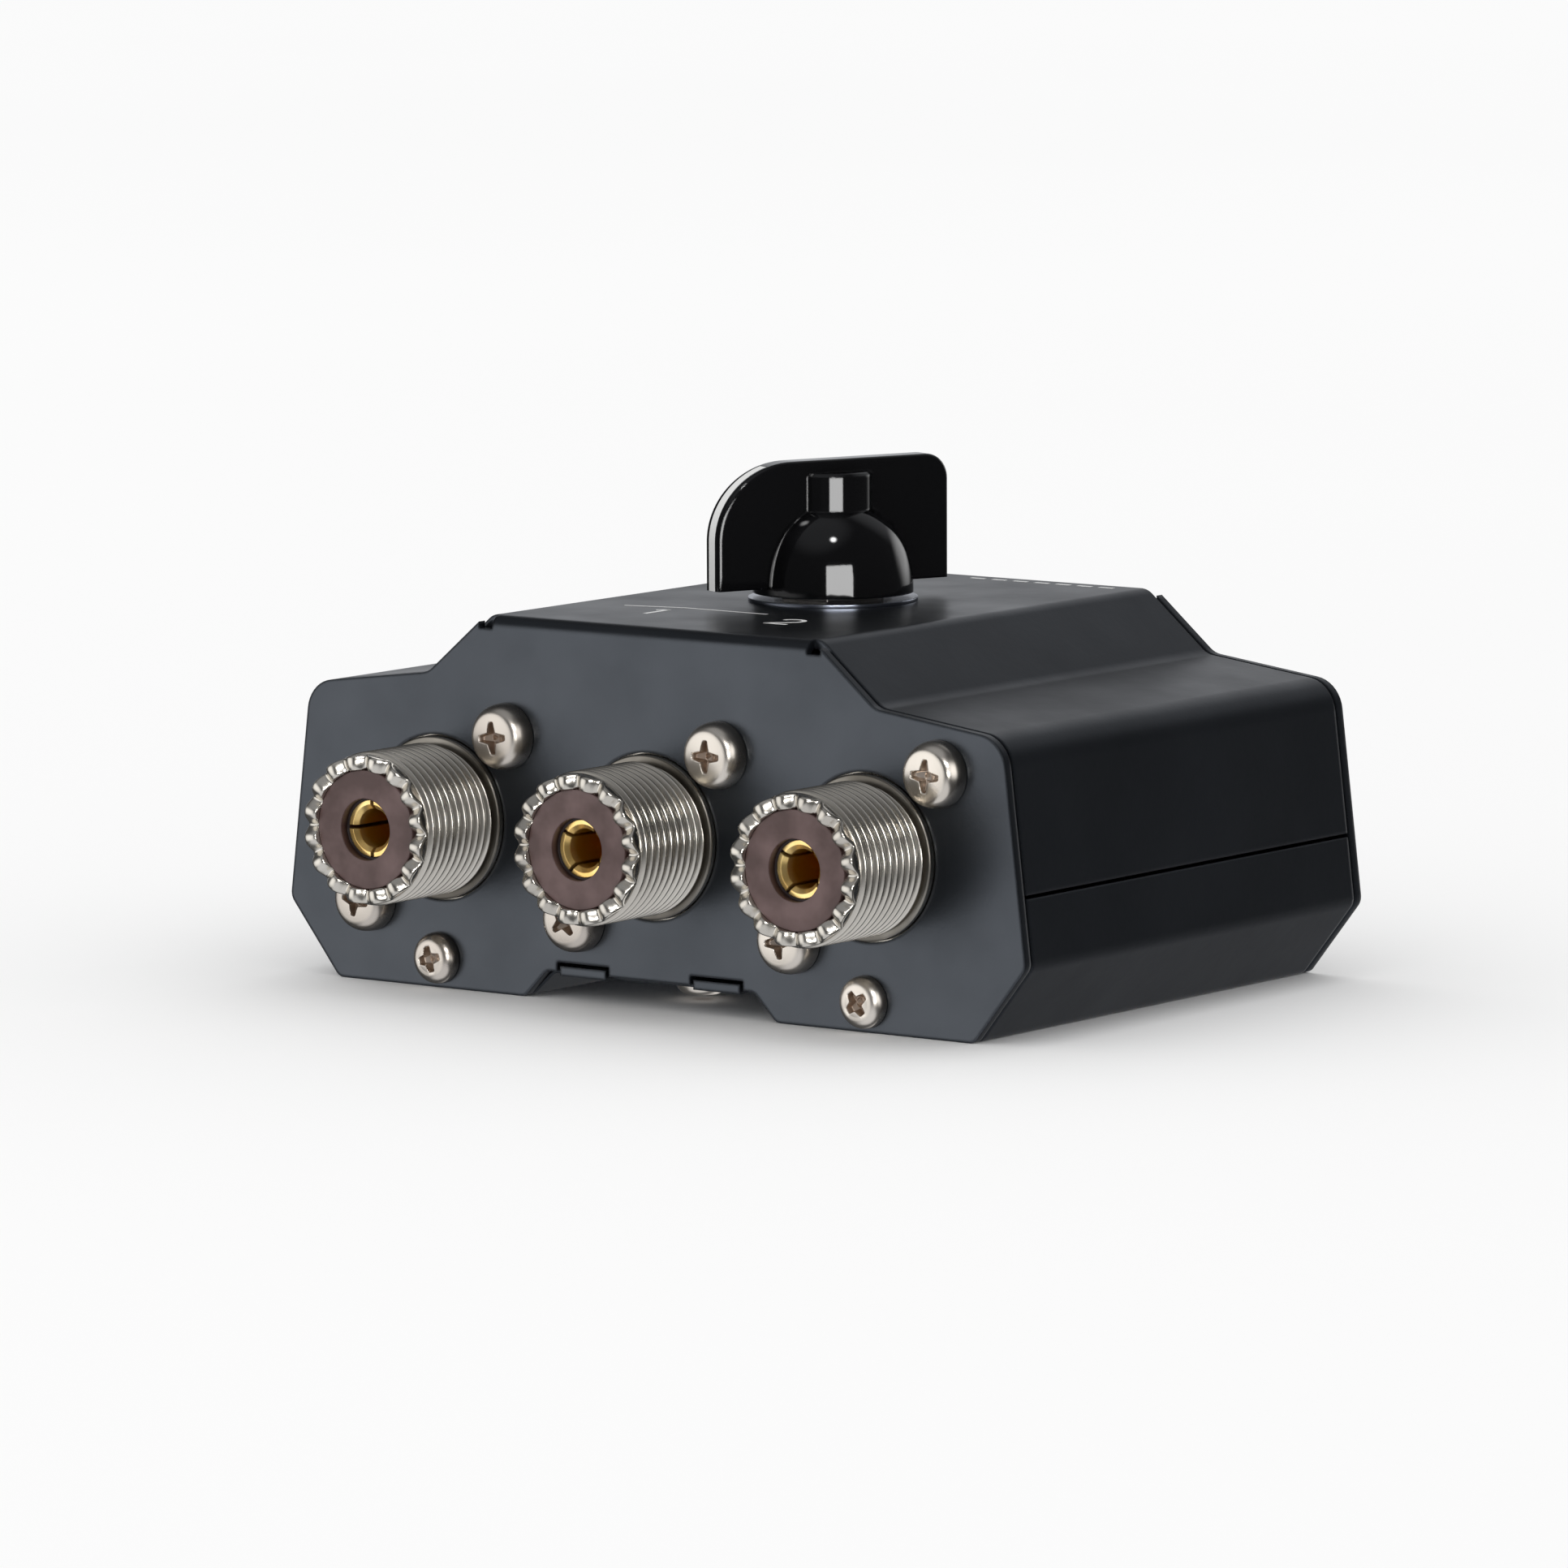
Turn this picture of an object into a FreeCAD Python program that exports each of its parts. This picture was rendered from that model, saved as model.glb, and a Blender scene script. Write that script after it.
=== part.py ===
import FreeCAD, Part
import math
import os

# Two-way coaxial switch. Millimetres, +Z up, +X to the right seen from the sockets.
# The origin is the middle of the footprint, on the surface that the feet rest on.

# Case of folded sheet; its outline is worked out further down, round the sockets
case_depth = 60.8
sheet = 1.0
side_room = 7.15
shoulder_draw = 2.8
head_room = 0.55
slope_foot_in = 15.65
slope_foot_rise = 2.0
plateau_in = 7.6
plateau_rise = 6.4
waist_height = 8.0
foot_chamfer = 6.35
foot_inner_half = 16.1
channel_half = 13.3
channel_height = 2.5
plateau_bend = 2.0
slope_foot_bend = 2.5
shoulder_bend = 3.6
waist_bend = 1.6
foot_bend = 1.2
panel_fold = 1.4
panel_channel_lift = 0.4
panel_gap = 0.4
seam_height = 15.0
seam_gap = 0.4
relief_width = 1.7
relief_height = 1.4

# Tabs of the lower cover that stand in notches of the end panels
tab_inner = 5.6
tab_width = 5.9
tab_clearance = 0.4

# Upturned flanges of the lower cover, behind the end panels and below the socket plates
flange_gap = 0.2
flange_past_screw = 8.8
flange_width = 20.0

# Sockets
socket_pitch = 27.3
socket_height = 17.75
barrel_radius = 7.94
barrel_length = 12.8
collar_radius = 8.5
collar_proud = 0.7
collar_clearance = 0.15
socket_plate = 25.0
socket_plate_thick = 2.0
socket_plate_corner = 3.6
socket_bore_radius = 6.15
tooth_count = 16
tooth_depth = 0.9
tooth_open_share = 0.98
insulator_recess = 0.75
insulator_clearance = 0.03
insulator_mouth_radius = 3.2
insulator_boss_radius = 5.5
insulator_boss_length = 3.0
contact_radius = 2.95
contact_bore_radius = 2.02
contact_bore_depth = 9.55
contact_mouth = 0.45
contact_recess = 1.85
contact_slot = 0.4
contact_slot_length = 6.5
contact_slot_turns = [0.0, 35.0, 35.0]
contact_neck_radius = 1.7
contact_floor = 1.5
cup_radius = 1.9
cup_length = 5.0
cup_bore_radius = 0.95
cup_bore_depth = 4.0

# Screws and nuts
thread_radius = 1.5
thread_clearance = 0.02
hole_clearance = 0.2
flange_screw_offset = 9.1
flange_head_radius = 3.45
flange_head_height = 2.7
flange_screw_end = 0.8
panel_screw_height = 3.1
panel_head_radius = 2.7
panel_head_height = 1.9
panel_screw_length = 5.0
base_screw_setback = 9.0
base_head_radius = 2.75
base_head_height = 2.1
base_screw_end = 0.6
nut_width = 5.5
nut_height = 2.4
recess_width = 0.75
recess_share = 0.57
recess_depth = 1.1
head_round = 1.0

# Knob
knob_setback = 32.0
knob_rest_angle = 22.5
knob_turn = 45.0
dome_radius = 8.4
dome_height = 9.53
dome_fullness = 2.3
dome_steps = 8
neck_radius = 4.15
neck_top = 12.6
neck_edge = 0.35
knob_lift = 0.5
blade_lift = 0.85
blade_top = 13.9
blade_front = 14.65
blade_rear = 13.35
blade_thick = 2.8
blade_edge = 0.5
blade_rear_round = 2.6
brow_length = 9.15
brow_height = 8.0
line_width = 1.2
line_depth = 0.3
line_reach = 6.2
grub_radius = 1.5
grub_height = 5.6
grub_length = 4.0
grub_hex = 1.5
grub_hex_depth = 1.6
knob_bore_depth = 9.9

# Bushing, its nut and the bright ring
ring_radius = 8.85
ring_thick = 0.4
bushing_radius = 3.5
bushing_collar_radius = 5.0
bushing_collar_thick = 1.5
bushing_top = 3.8
bushing_nut_width = 10.0
bushing_nut_height = 2.0
nut_pocket_clearance = 0.45
pocket_gap = 0.3

# Shaft and its spring clip
shaft_radius = 3.0
shaft_clearance = 0.05
shaft_flat = 2.45
drive_radius = 2.4
drive_flat = 1.9
drive_past = 1.2
clip_outer = 4.6
clip_thick = 0.6
clip_groove = 0.4
clip_gap = 0.1
clip_mouth = 3.6

# Indexing parts under the plateau
deck_thick = 1.6
deck_length = 32.0
deck_width = 26.0
deck_corner = 3.0
wheel_radius = 9.5
wheel_thick = 2.5
wheel_gap = 0.3
press_clearance = 0.02
stop_radius = 1.1
stop_place = 6.9
stop_angle = 90.0
stop_clearance = 0.12
stop_slack = 1.5
notch_radius = 1.4
notch_depth = 0.35
nose_radius = 1.2
nose_gap = 0.05
leaf_thick = 0.4
leaf_width = 3.6
leaf_foot = 4.0
leaf_place = 11.0
leaf_tail = 9.0
leaf_tip = 3.4
rivet_radius = 0.9
rivet_head_radius = 1.2
rivet_head_height = 0.6

# Wafer, posts and turning contact
post_x = 11.5
post_y = 6.0
post_radius = 2.2
post_tenon_radius = 1.4
wafer_radius = 17.0
wafer_thick = 1.6
wafer_hole = 7.5
wafer_screw_length = 4.5
wafer_head_radius = 2.6
wafer_head_height = 1.8
rotor_gap = 0.3
rotor_boss_radius = 4.5
rotor_boss_height = 4.0
blade_contact_thick = 0.5
blade_contact_inner = 4.6
blade_contact_reach = 12.0
blade_contact_width = 3.4
running_gap = 0.15
finger_thick = 0.4
finger_width = 3.4
finger_foot_inner = 12.8
finger_foot_outer = 20.2
finger_rivet = 15.2
throw_finger_inner = 9.2
common_finger_inner = 5.2
link_radius = 0.8
link_gap = 0.02
link_bend = 4.0
link_crossing_radius = 18.9
link_cup_depth = 3.4
link_past = 1.4

# Cutting tools run this far past a face, or right through the whole part
cut_past = 1.0
skim = 0.01

# Outline of the case, half of it, seen from the front: sized round the sockets
waist_half = socket_pitch + socket_plate / 2 + side_room
shoulder_half = waist_half - shoulder_draw
shoulder_height = socket_height + socket_plate / 2 + head_room
slope_foot_half = shoulder_half - slope_foot_in
slope_foot_height = shoulder_height + slope_foot_rise
plateau_half = slope_foot_half - plateau_in
plateau_height = slope_foot_height + plateau_rise
foot_outer_half = waist_half - foot_chamfer
panel_screw_half = socket_pitch

# Places worked out from the sizes above
front_face = (barrel_length - case_depth - panel_head_height) / 2
rear_face = front_face + case_depth
flange_rise = socket_height - socket_plate / 2 - flange_gap
knob_y = front_face + knob_setback
ring_top = plateau_height + ring_thick
knob_base = ring_top + knob_lift
deck_top = plateau_height - sheet
deck_bottom = deck_top - deck_thick
bushing_bottom = deck_bottom - bushing_collar_thick
bushing_end = plateau_height + bushing_top
wheel_top = bushing_bottom - wheel_gap
wheel_bottom = wheel_top - wheel_thick
clip_bottom = bushing_end + clip_gap
clip_top = clip_bottom + clip_thick
wafer_top = socket_height + link_radius + link_gap
wafer_bottom = wafer_top - wafer_thick
contact_strip_bottom = wafer_top + running_gap
contact_strip_top = contact_strip_bottom + blade_contact_thick
finger_bottom = contact_strip_top + running_gap
case_reach = waist_half + shoulder_half
through = 2 * (case_depth + plateau_height)
fold_half = plateau_half - relief_width / 2
fold_low = plateau_height - 2 * panel_fold
plate_back = front_face + sheet + socket_plate_thick
cup_end = plate_back + insulator_boss_length + cup_length
socket_places = [-socket_pitch, 0.0, socket_pitch]
pointer_angle = 270.0 - knob_rest_angle
leaf_rivet_x = leaf_place + leaf_thick + (leaf_foot - leaf_thick) / 2
leaf_rivet_y = leaf_width / 2 - leaf_tail
up = FreeCAD.Vector(0, 0, 1)
rearward = FreeCAD.Vector(0, 1, 0)
knob_centre = FreeCAD.Vector(0, knob_y, 0)
eighth_turn = math.sin(math.pi / 4)


def vec(x, y, z):
    return FreeCAD.Vector(x, y, z)


def save(name, shape):
    # Each node is one file; loose parts of a group stay separate solids.
    solids = shape.Solids
    result = solids[0] if len(solids) == 1 else Part.makeCompound(solids)
    result.exportStep("parts/" + name + ".step")
    print(name, len(solids), round(result.Volume, 2), result.isValid())


def block(x0, x1, y0, y1, z0, z1):
    return Part.makeBox(x1 - x0, y1 - y0, z1 - z0, vec(x0, y0, z0))


def rod(radius, start, along, length):
    return Part.makeCylinder(radius, length, start, along)


def polar(radius, angle, z):
    turn = math.radians(angle)
    return vec(radius * math.cos(turn), radius * math.sin(turn), z)


def fuse_all(shapes):
    return shapes[0].multiFuse(shapes[1:]).removeSplitter()


def mirrored_points(half):
    # Corner points of the right half become the closed outline, left half added by mirror.
    return half + [(-x, z) for x, z in reversed(half)]


def rounded_wire(points, radii, place):
    # Closed wire through corner points; each corner is an arc of its own radius.
    edges = []
    count = len(points)
    arcs = []
    for i in range(count):
        before = points[i - 1]
        here = points[i]
        after = points[(i + 1) % count]
        ux, uz = before[0] - here[0], before[1] - here[1]
        wx, wz = after[0] - here[0], after[1] - here[1]
        ul = math.hypot(ux, uz)
        wl = math.hypot(wx, wz)
        ux, uz, wx, wz = ux / ul, uz / ul, wx / wl, wz / wl
        half_angle = math.acos(max(-1.0, min(1.0, ux * wx + uz * wz))) / 2
        setback = radii[i] / math.tan(half_angle)
        start = (here[0] + ux * setback, here[1] + uz * setback)
        end = (here[0] + wx * setback, here[1] + wz * setback)
        bx, bz = ux + wx, uz + wz
        bl = math.hypot(bx, bz)
        reach = radii[i] / math.sin(half_angle) - radii[i]
        middle = (here[0] + bx / bl * reach, here[1] + bz / bl * reach)
        arcs.append((start, middle, end, radii[i]))
    for i in range(count):
        start, middle, end, radius = arcs[i]
        following = arcs[(i + 1) % count][0]
        if radius > 0:
            edges.append(Part.Arc(place(*start), place(*middle), place(*end)).toShape())
        if math.hypot(following[0] - end[0], following[1] - end[1]) > 1e-6:
            edges.append(Part.LineSegment(place(*end), place(*following)).toShape())
    return Part.Wire(edges)


def inset(points, distance):
    # Corner points moved inward by a wall; the points run round the outline one way.
    area = sum(points[i - 1][0] * p[1] - p[0] * points[i - 1][1] for i, p in enumerate(points))
    side = 1 if area > 0 else -1
    moved = []
    for i, here in enumerate(points):
        before = points[i - 1]
        after = points[(i + 1) % len(points)]
        ax, az = here[0] - before[0], here[1] - before[1]
        bx, bz = after[0] - here[0], after[1] - here[1]
        al, bl = math.hypot(ax, az), math.hypot(bx, bz)
        nx, nz = -az / al * side, ax / al * side
        mx, mz = -bz / bl * side, bx / bl * side
        scale = distance / (1 + nx * mx + nz * mz)
        moved.append((here[0] + (nx + mx) * scale, here[1] + (nz + mz) * scale))
    return moved


def full_width(y0, y1, z0, z1):
    # A block that is wider than the case.
    return block(-case_reach, case_reach, y0, y1, z0, z1)


def upright(y):
    return lambda x, z: vec(x, y, z)


def flat_at(z):
    return lambda x, y: vec(x, y, z)


def case_half(channel):
    return [
        (channel_half, channel),
        (foot_inner_half, 0.0),
        (foot_outer_half, 0.0),
        (waist_half, waist_height),
        (shoulder_half, shoulder_height),
        (slope_foot_half, slope_foot_height),
        (plateau_half, plateau_height),
    ]


def case_radii(wall):
    # Inner face of the sheet: outside corners tighten by the wall, inside corners open up by it.
    return [
        foot_bend + wall,
        foot_bend - wall,
        foot_bend - wall,
        waist_bend - wall,
        shoulder_bend - wall,
        slope_foot_bend + wall,
        plateau_bend - wall,
    ]


def case_block(wall, channel, y0, y1):
    half = case_half(channel)
    radii = case_radii(wall)
    points = mirrored_points(half)
    if wall > 0:
        points = inset(points, wall)
    face = Part.Face(rounded_wire(points, radii + radii[::-1], upright(y0)))
    return face.extrude(vec(0, y1 - y0, 0))


def case_skin():
    # The folded sheet all round, between the two end panels.
    y0 = front_face + sheet + panel_gap
    y1 = rear_face - sheet - panel_gap
    outside = case_block(0.0, channel_height, y0, y1)
    return outside.cut(case_block(sheet, channel_height, y0 - cut_past, y1 + cut_past))


def fold_ring(x0, x1, y0, y1, z0, z1):
    # A sheet folded at two cross bends, seen from the side.
    outer = [(y0, z0), (y1, z0), (y1, z1), (y0, z1)]
    inner = inset(outer, sheet)
    place = lambda y, z: vec(x0, y, z)
    outside = Part.Face(rounded_wire(outer, [panel_fold] * 4, place))
    hollow = Part.Face(rounded_wire(inner, [panel_fold - sheet] * 4, place))
    run = vec(x1 - x0, 0, 0)
    return outside.extrude(run).cut(hollow.extrude(run))


def end_panel(face_y, inward):
    # Flat panel with the case outline; it hangs from the plateau by the fold.
    points = mirrored_points(case_half(channel_height + panel_channel_lift))
    half_radii = [
        foot_bend,
        foot_bend,
        foot_bend,
        waist_bend,
        shoulder_bend,
        slope_foot_bend,
        0.0,
    ]
    wire = rounded_wire(points, half_radii + half_radii[::-1], upright(face_y))
    panel = Part.Face(wire).extrude(vec(0, inward * sheet, 0))
    y0 = face_y - 2 * sheet
    y1 = face_y + 2 * sheet
    cuts = [block(-fold_half, fold_half, y0, y1, fold_low, plateau_height + cut_past)]
    notch_top = channel_height + sheet + tab_clearance
    for side in (-1, 1):
        a = side * (tab_inner - tab_clearance)
        b = side * (tab_inner + tab_width + tab_clearance)
        cuts.append(block(min(a, b), max(a, b), y0, y1, 0, notch_top))
        spot = vec(side * panel_screw_half, y0, panel_screw_height)
        cuts.append(rod(thread_radius + hole_clearance, spot, rearward, y1 - y0))
    return panel.cut(cuts)


def top_cover():
    # One folded sheet: plateau, slopes, shoulders, side walls and both end panels.
    skin = case_skin()
    wings = skin.common(full_width(front_face, rear_face, seam_height + seam_gap / 2, through))
    strip = fold_ring(-fold_half, fold_half, front_face, rear_face, 0, plateau_height)
    strip = strip.common(full_width(front_face, rear_face, fold_low, through))
    front = end_panel(front_face, 1)
    rear = end_panel(rear_face, -1)
    cover = fuse_all([wings, strip, front, rear])
    cuts = []
    for side in (-1, 1):
        a = side * fold_half
        b = side * (fold_half + relief_width)
        low = plateau_height - relief_height
        deep = sheet + panel_gap
        cuts.append(block(min(a, b), max(a, b), front_face - cut_past, front_face + deep, low, through))
        cuts.append(block(min(a, b), max(a, b), rear_face - deep, rear_face + cut_past, low, through))
    for x in socket_places:
        centre = vec(x, front_face - cut_past, socket_height)
        cuts.append(rod(collar_radius + collar_clearance, centre, rearward, sheet + 2 * cut_past))
    for seat in flange_screw_seats():
        start = seat - rearward * cut_past
        cuts.append(rod(thread_radius + hole_clearance, start, rearward, sheet + 2 * cut_past))
    bushing_start = knob_centre + up * (deck_top - cut_past)
    cuts.append(rod(bushing_radius + hole_clearance, bushing_start, up, sheet + 2 * cut_past))
    return cover.cut(cuts).removeSplitter()


def bottom_cover():
    # One folded sheet: side walls, chamfers, feet, channel, screw flanges and panel tabs.
    skin = case_skin()
    pieces = [skin.common(full_width(front_face, rear_face, -cut_past, seam_height - seam_gap / 2))]
    y0 = front_face + sheet
    y1 = rear_face - sheet
    for side in (-1, 1):
        a = side * (panel_screw_half - flange_past_screw)
        b = side * (panel_screw_half - flange_past_screw + flange_width)
        tray = fold_ring(min(a, b), max(a, b), y0, y1, 0, plateau_height)
        pieces.append(tray.common(full_width(y0, y1, -cut_past, flange_rise)))
        c = side * tab_inner
        d = side * (tab_inner + tab_width)
        edge = panel_gap + sheet
        tab_z = channel_height + sheet
        pieces.append(block(min(c, d), max(c, d), y0 - sheet, y0 + edge, channel_height, tab_z))
        pieces.append(block(min(c, d), max(c, d), y1 - edge, y1 + sheet, channel_height, tab_z))
    cover = fuse_all(pieces)
    cuts = []
    for side in (-1, 1):
        for y in (front_face, rear_face):
            spot = vec(side * panel_screw_half, y - panel_screw_length, panel_screw_height)
            cuts.append(rod(thread_radius + thread_clearance, spot, rearward, 2 * panel_screw_length))
    for y in base_screw_places():
        cuts.append(rod(thread_radius + hole_clearance, vec(0, y, 0), up, channel_height + 2 * sheet))
    return cover.cut(cuts).removeSplitter()


def base_screw_places():
    return [front_face + base_screw_setback, rear_face - base_screw_setback]


def socket_shell(x):
    # Turned and milled body: square plate behind the panel, collar, barrel with a toothed lip.
    lip = front_face - barrel_length
    plate_y = front_face + sheet
    half = socket_plate / 2
    corners = [
        (x - half, socket_height - half),
        (x + half, socket_height - half),
        (x + half, socket_height + half),
        (x - half, socket_height + half),
    ]
    wire = rounded_wire(corners, [socket_plate_corner] * 4, upright(plate_y))
    plate = Part.Face(wire).extrude(vec(0, socket_plate_thick, 0))
    centre = vec(x, front_face - collar_proud, socket_height)
    collar = rod(collar_radius, centre, rearward, collar_proud + sheet)
    barrel = rod(barrel_radius, vec(x, lip, socket_height), rearward, barrel_length)
    shell = fuse_all([plate, collar, barrel])
    cuts = [rod(socket_bore_radius, vec(x, lip - cut_past, socket_height), rearward, through)]
    offset = flange_screw_offset
    for sx, sz in ((1, 1), (1, -1), (-1, 1), (-1, -1)):
        spot = vec(x + sx * offset, front_face, socket_height + sz * offset)
        cuts.append(rod(thread_radius + hole_clearance, spot, rearward, through))
    cuts.extend(tooth_gaps(x, lip))
    return shell.cut(cuts)


def tooth_gaps(x, lip):
    # Radial V cuts between the teeth of the lip.
    step = 360.0 / tooth_count
    half = barrel_radius * math.tan(math.radians(step) / 2) * tooth_open_share
    axis = vec(x, 0, socket_height)
    gaps = []
    for i in range(tooth_count):
        corners = [
            vec(x - half, lip - skim, socket_height),
            vec(x + half, lip - skim, socket_height),
            vec(x, lip + tooth_depth, socket_height),
        ]
        gap = Part.Face(Part.makePolygon(corners + corners[:1])).extrude(up * collar_radius)
        gap.rotate(axis, rearward, i * step)
        gaps.append(gap)
    return gaps


def socket_insulator(x):
    # Moulded core, stepped down to a boss behind the plate.
    face = vec(x, front_face - barrel_length + insulator_recess, socket_height)
    plate_end = vec(x, plate_back, socket_height)
    body_length = plate_back - face.y
    body = rod(socket_bore_radius - insulator_clearance, face, rearward, body_length)
    boss = rod(insulator_boss_radius, plate_end, rearward, insulator_boss_length)
    bore_length = contact_step_y() - face.y
    bore = rod(contact_radius + insulator_clearance, face, rearward, bore_length)
    neck = rod(contact_neck_radius + insulator_clearance, face, rearward, through)
    mouth = rod(insulator_mouth_radius, face, rearward, contact_recess - insulator_recess)
    return fuse_all([body, boss]).cut([bore, neck, mouth])


def contact_step_y():
    # Where the contact narrows to its neck, behind the end of its bore.
    return front_face - barrel_length + contact_recess + contact_bore_depth + contact_floor


def socket_contact(x, slot_turn):
    # Turned contact: slotted sleeve with a flared mouth, neck in the core, solder cup behind.
    front = front_face - barrel_length + contact_recess
    sleeve_end = contact_step_y()
    cup_start = cup_end - cup_length
    sleeve = rod(contact_radius, vec(x, front, socket_height), rearward, sleeve_end - front)
    neck = rod(contact_neck_radius, vec(x, sleeve_end, socket_height), rearward, cup_start - sleeve_end)
    cup = rod(cup_radius, vec(x, cup_start, socket_height), rearward, cup_length)
    contact = fuse_all([sleeve, neck, cup])
    cuts = [rod(contact_bore_radius, vec(x, front, socket_height), rearward, contact_bore_depth)]
    mouth_radius = contact_bore_radius + contact_mouth
    mouth_spot = vec(x, front, socket_height)
    cuts.append(Part.makeCone(mouth_radius, contact_bore_radius, contact_mouth, mouth_spot, rearward))
    cup_bore = vec(x, cup_end - cup_bore_depth, socket_height)
    cuts.append(rod(cup_bore_radius, cup_bore, rearward, cup_bore_depth))
    wide = 2 * contact_radius
    half = contact_slot / 2
    slot_end = front + contact_slot_length
    z = socket_height
    slots = [
        block(x - half, x + half, front, slot_end, z - wide, z + wide),
        block(x - wide, x + wide, front, slot_end, z - half, z + half),
    ]
    for slot in slots:
        slot.rotate(vec(x, front, z), rearward, slot_turn)
    return contact.cut(cuts + slots)


def pan_screw(radius, height, length, seat, along):
    # Pan head on its seat; along points from the seat into the work.
    profile = [
        Part.LineSegment(vec(0, 0, 0), vec(radius, 0, 0)).toShape(),
        Part.LineSegment(vec(radius, 0, 0), vec(radius, 0, height - head_round)).toShape(),
    ]
    corner = vec(radius, 0, height - head_round)
    crown = vec(radius - head_round, 0, height)
    bulge = vec(crown.x + head_round * eighth_turn, 0, corner.z + head_round * eighth_turn)
    profile.append(Part.Arc(corner, bulge, crown).toShape())
    profile.append(Part.LineSegment(crown, vec(0, 0, height)).toShape())
    profile.append(Part.LineSegment(vec(0, 0, height), vec(0, 0, 0)).toShape())
    head = Part.Face(Part.Wire(profile)).revolve(vec(0, 0, 0), up, 360)
    shank = rod(thread_radius, vec(0, 0, -length), up, length)
    screw = fuse_all([head, shank])
    reach = radius * recess_share
    half = recess_width / 2
    floor = height - recess_depth
    cross = [
        block(-reach, reach, -half, half, floor, height + cut_past),
        block(-half, half, -reach, reach, floor, height + cut_past),
    ]
    screw = screw.cut(cross)
    screw.Placement = FreeCAD.Placement(seat, FreeCAD.Rotation(vec(0, 0, -1), along))
    return screw


def hex_reach(width):
    # Across corners from across flats, halved.
    return width / 2 / math.cos(math.pi / 6)


def hex_bar(width, height, base, along):
    corners = [polar(hex_reach(width), 60 * i, 0) for i in range(6)]
    bar = Part.Face(Part.makePolygon(corners + corners[:1])).extrude(up * height)
    bar.Placement = FreeCAD.Placement(base, FreeCAD.Rotation(up, along))
    return bar


def hex_nut(width, height, bore, base, along):
    hole = rod(bore, base - along * cut_past, along, height + 2 * cut_past)
    return hex_bar(width, height, base, along).cut(hole)


def small_nut(base, along):
    return hex_nut(nut_width, nut_height, thread_radius + thread_clearance, base, along)


def flange_screw_seats():
    # Each socket has two screws, at the upper right and the lower left.
    seats = []
    for x in socket_places:
        for side in (1, -1):
            offset = side * flange_screw_offset
            seats.append(vec(x + offset, front_face, socket_height + offset))
    return seats


def flange_screws():
    length = sheet + socket_plate_thick + nut_height + flange_screw_end
    screws = []
    for seat in flange_screw_seats():
        screws.append(pan_screw(flange_head_radius, flange_head_height, length, seat, rearward))
    return Part.makeCompound(screws)


def flange_nuts():
    shift = vec(0, sheet + socket_plate_thick, 0)
    nuts = []
    for seat in flange_screw_seats():
        nuts.append(small_nut(seat + shift, rearward))
    return Part.makeCompound(nuts)


def panel_screws():
    length = panel_screw_length
    screws = []
    for side in (-1, 1):
        for y, along in ((front_face, rearward), (rear_face, -rearward)):
            seat = vec(side * panel_screw_half, y, panel_screw_height)
            screws.append(pan_screw(panel_head_radius, panel_head_height, length, seat, along))
    return Part.makeCompound(screws)


def base_screws():
    length = sheet + nut_height + base_screw_end
    screws = []
    for y in base_screw_places():
        seat = vec(0, y, channel_height)
        screws.append(pan_screw(base_head_radius, base_head_height, length, seat, up))
    return Part.makeCompound(screws)


def base_nuts():
    floor = channel_height + sheet
    return Part.makeCompound([small_nut(vec(0, y, floor), up) for y in base_screw_places()])


def turn_to_rest(shape):
    # Knob parts are drawn with the pointer along -Y and then turned to the first position.
    shape.rotate(vec(0, 0, 0), up, -knob_rest_angle)
    shape.translate(knob_centre)
    return shape


def blade_block(margin, half_thick):
    # Side view of the blade: straight foot, elliptical brow at the pointer end, round tail corner.
    front = margin - blade_front
    rear = blade_rear - margin
    foot = knob_base + blade_lift
    top = knob_base + blade_top - margin
    brow_y = brow_length - blade_front
    brow_z = knob_base + blade_top - brow_height
    tail = blade_rear_round - margin
    corner = eighth_turn * tail
    brow = Part.Ellipse(vec(0, front, brow_z), vec(0, brow_y, top), vec(0, brow_y, brow_z))
    tail_start = vec(0, rear - tail, top)
    tail_middle = vec(0, rear - tail + corner, top - tail + corner)
    tail_end = vec(0, rear, top - tail)
    edges = [
        Part.LineSegment(vec(0, front, foot), vec(0, front, brow_z)).toShape(),
        Part.ArcOfEllipse(brow, 0, math.pi / 2).toShape(),
        Part.LineSegment(vec(0, brow_y, top), tail_start).toShape(),
        Part.Arc(tail_start, tail_middle, tail_end).toShape(),
        Part.LineSegment(tail_end, vec(0, rear, foot)).toShape(),
        Part.LineSegment(vec(0, rear, foot), vec(0, front, foot)).toShape(),
    ]
    face = Part.Face(Part.Wire(edges))
    face.translate(vec(-half_thick, 0, 0))
    return face.extrude(vec(2 * half_thick, 0, 0))


def line_band():
    # White inlay that follows the pointer edge from the foot to the end of the brow.
    band = blade_block(0.0, line_width / 2).cut(blade_block(line_depth, line_width))
    return band.common(block(-line_width, line_width, -through, line_reach - blade_front, 0, through))


def dome_arch():
    # Superellipse from the foot of the dome to the neck: a little fuller than an ellipse.
    power = 2 / dome_fullness
    end_share = neck_radius / dome_radius
    end_turn = math.acos(end_share ** (dome_fullness / 2))
    points = []
    for i in range(dome_steps + 1):
        turn = end_turn * i / dome_steps
        rise = dome_height * math.sin(turn) ** power
        points.append(vec(dome_radius * math.cos(turn) ** power, 0, knob_base + rise))
    return points


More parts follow.
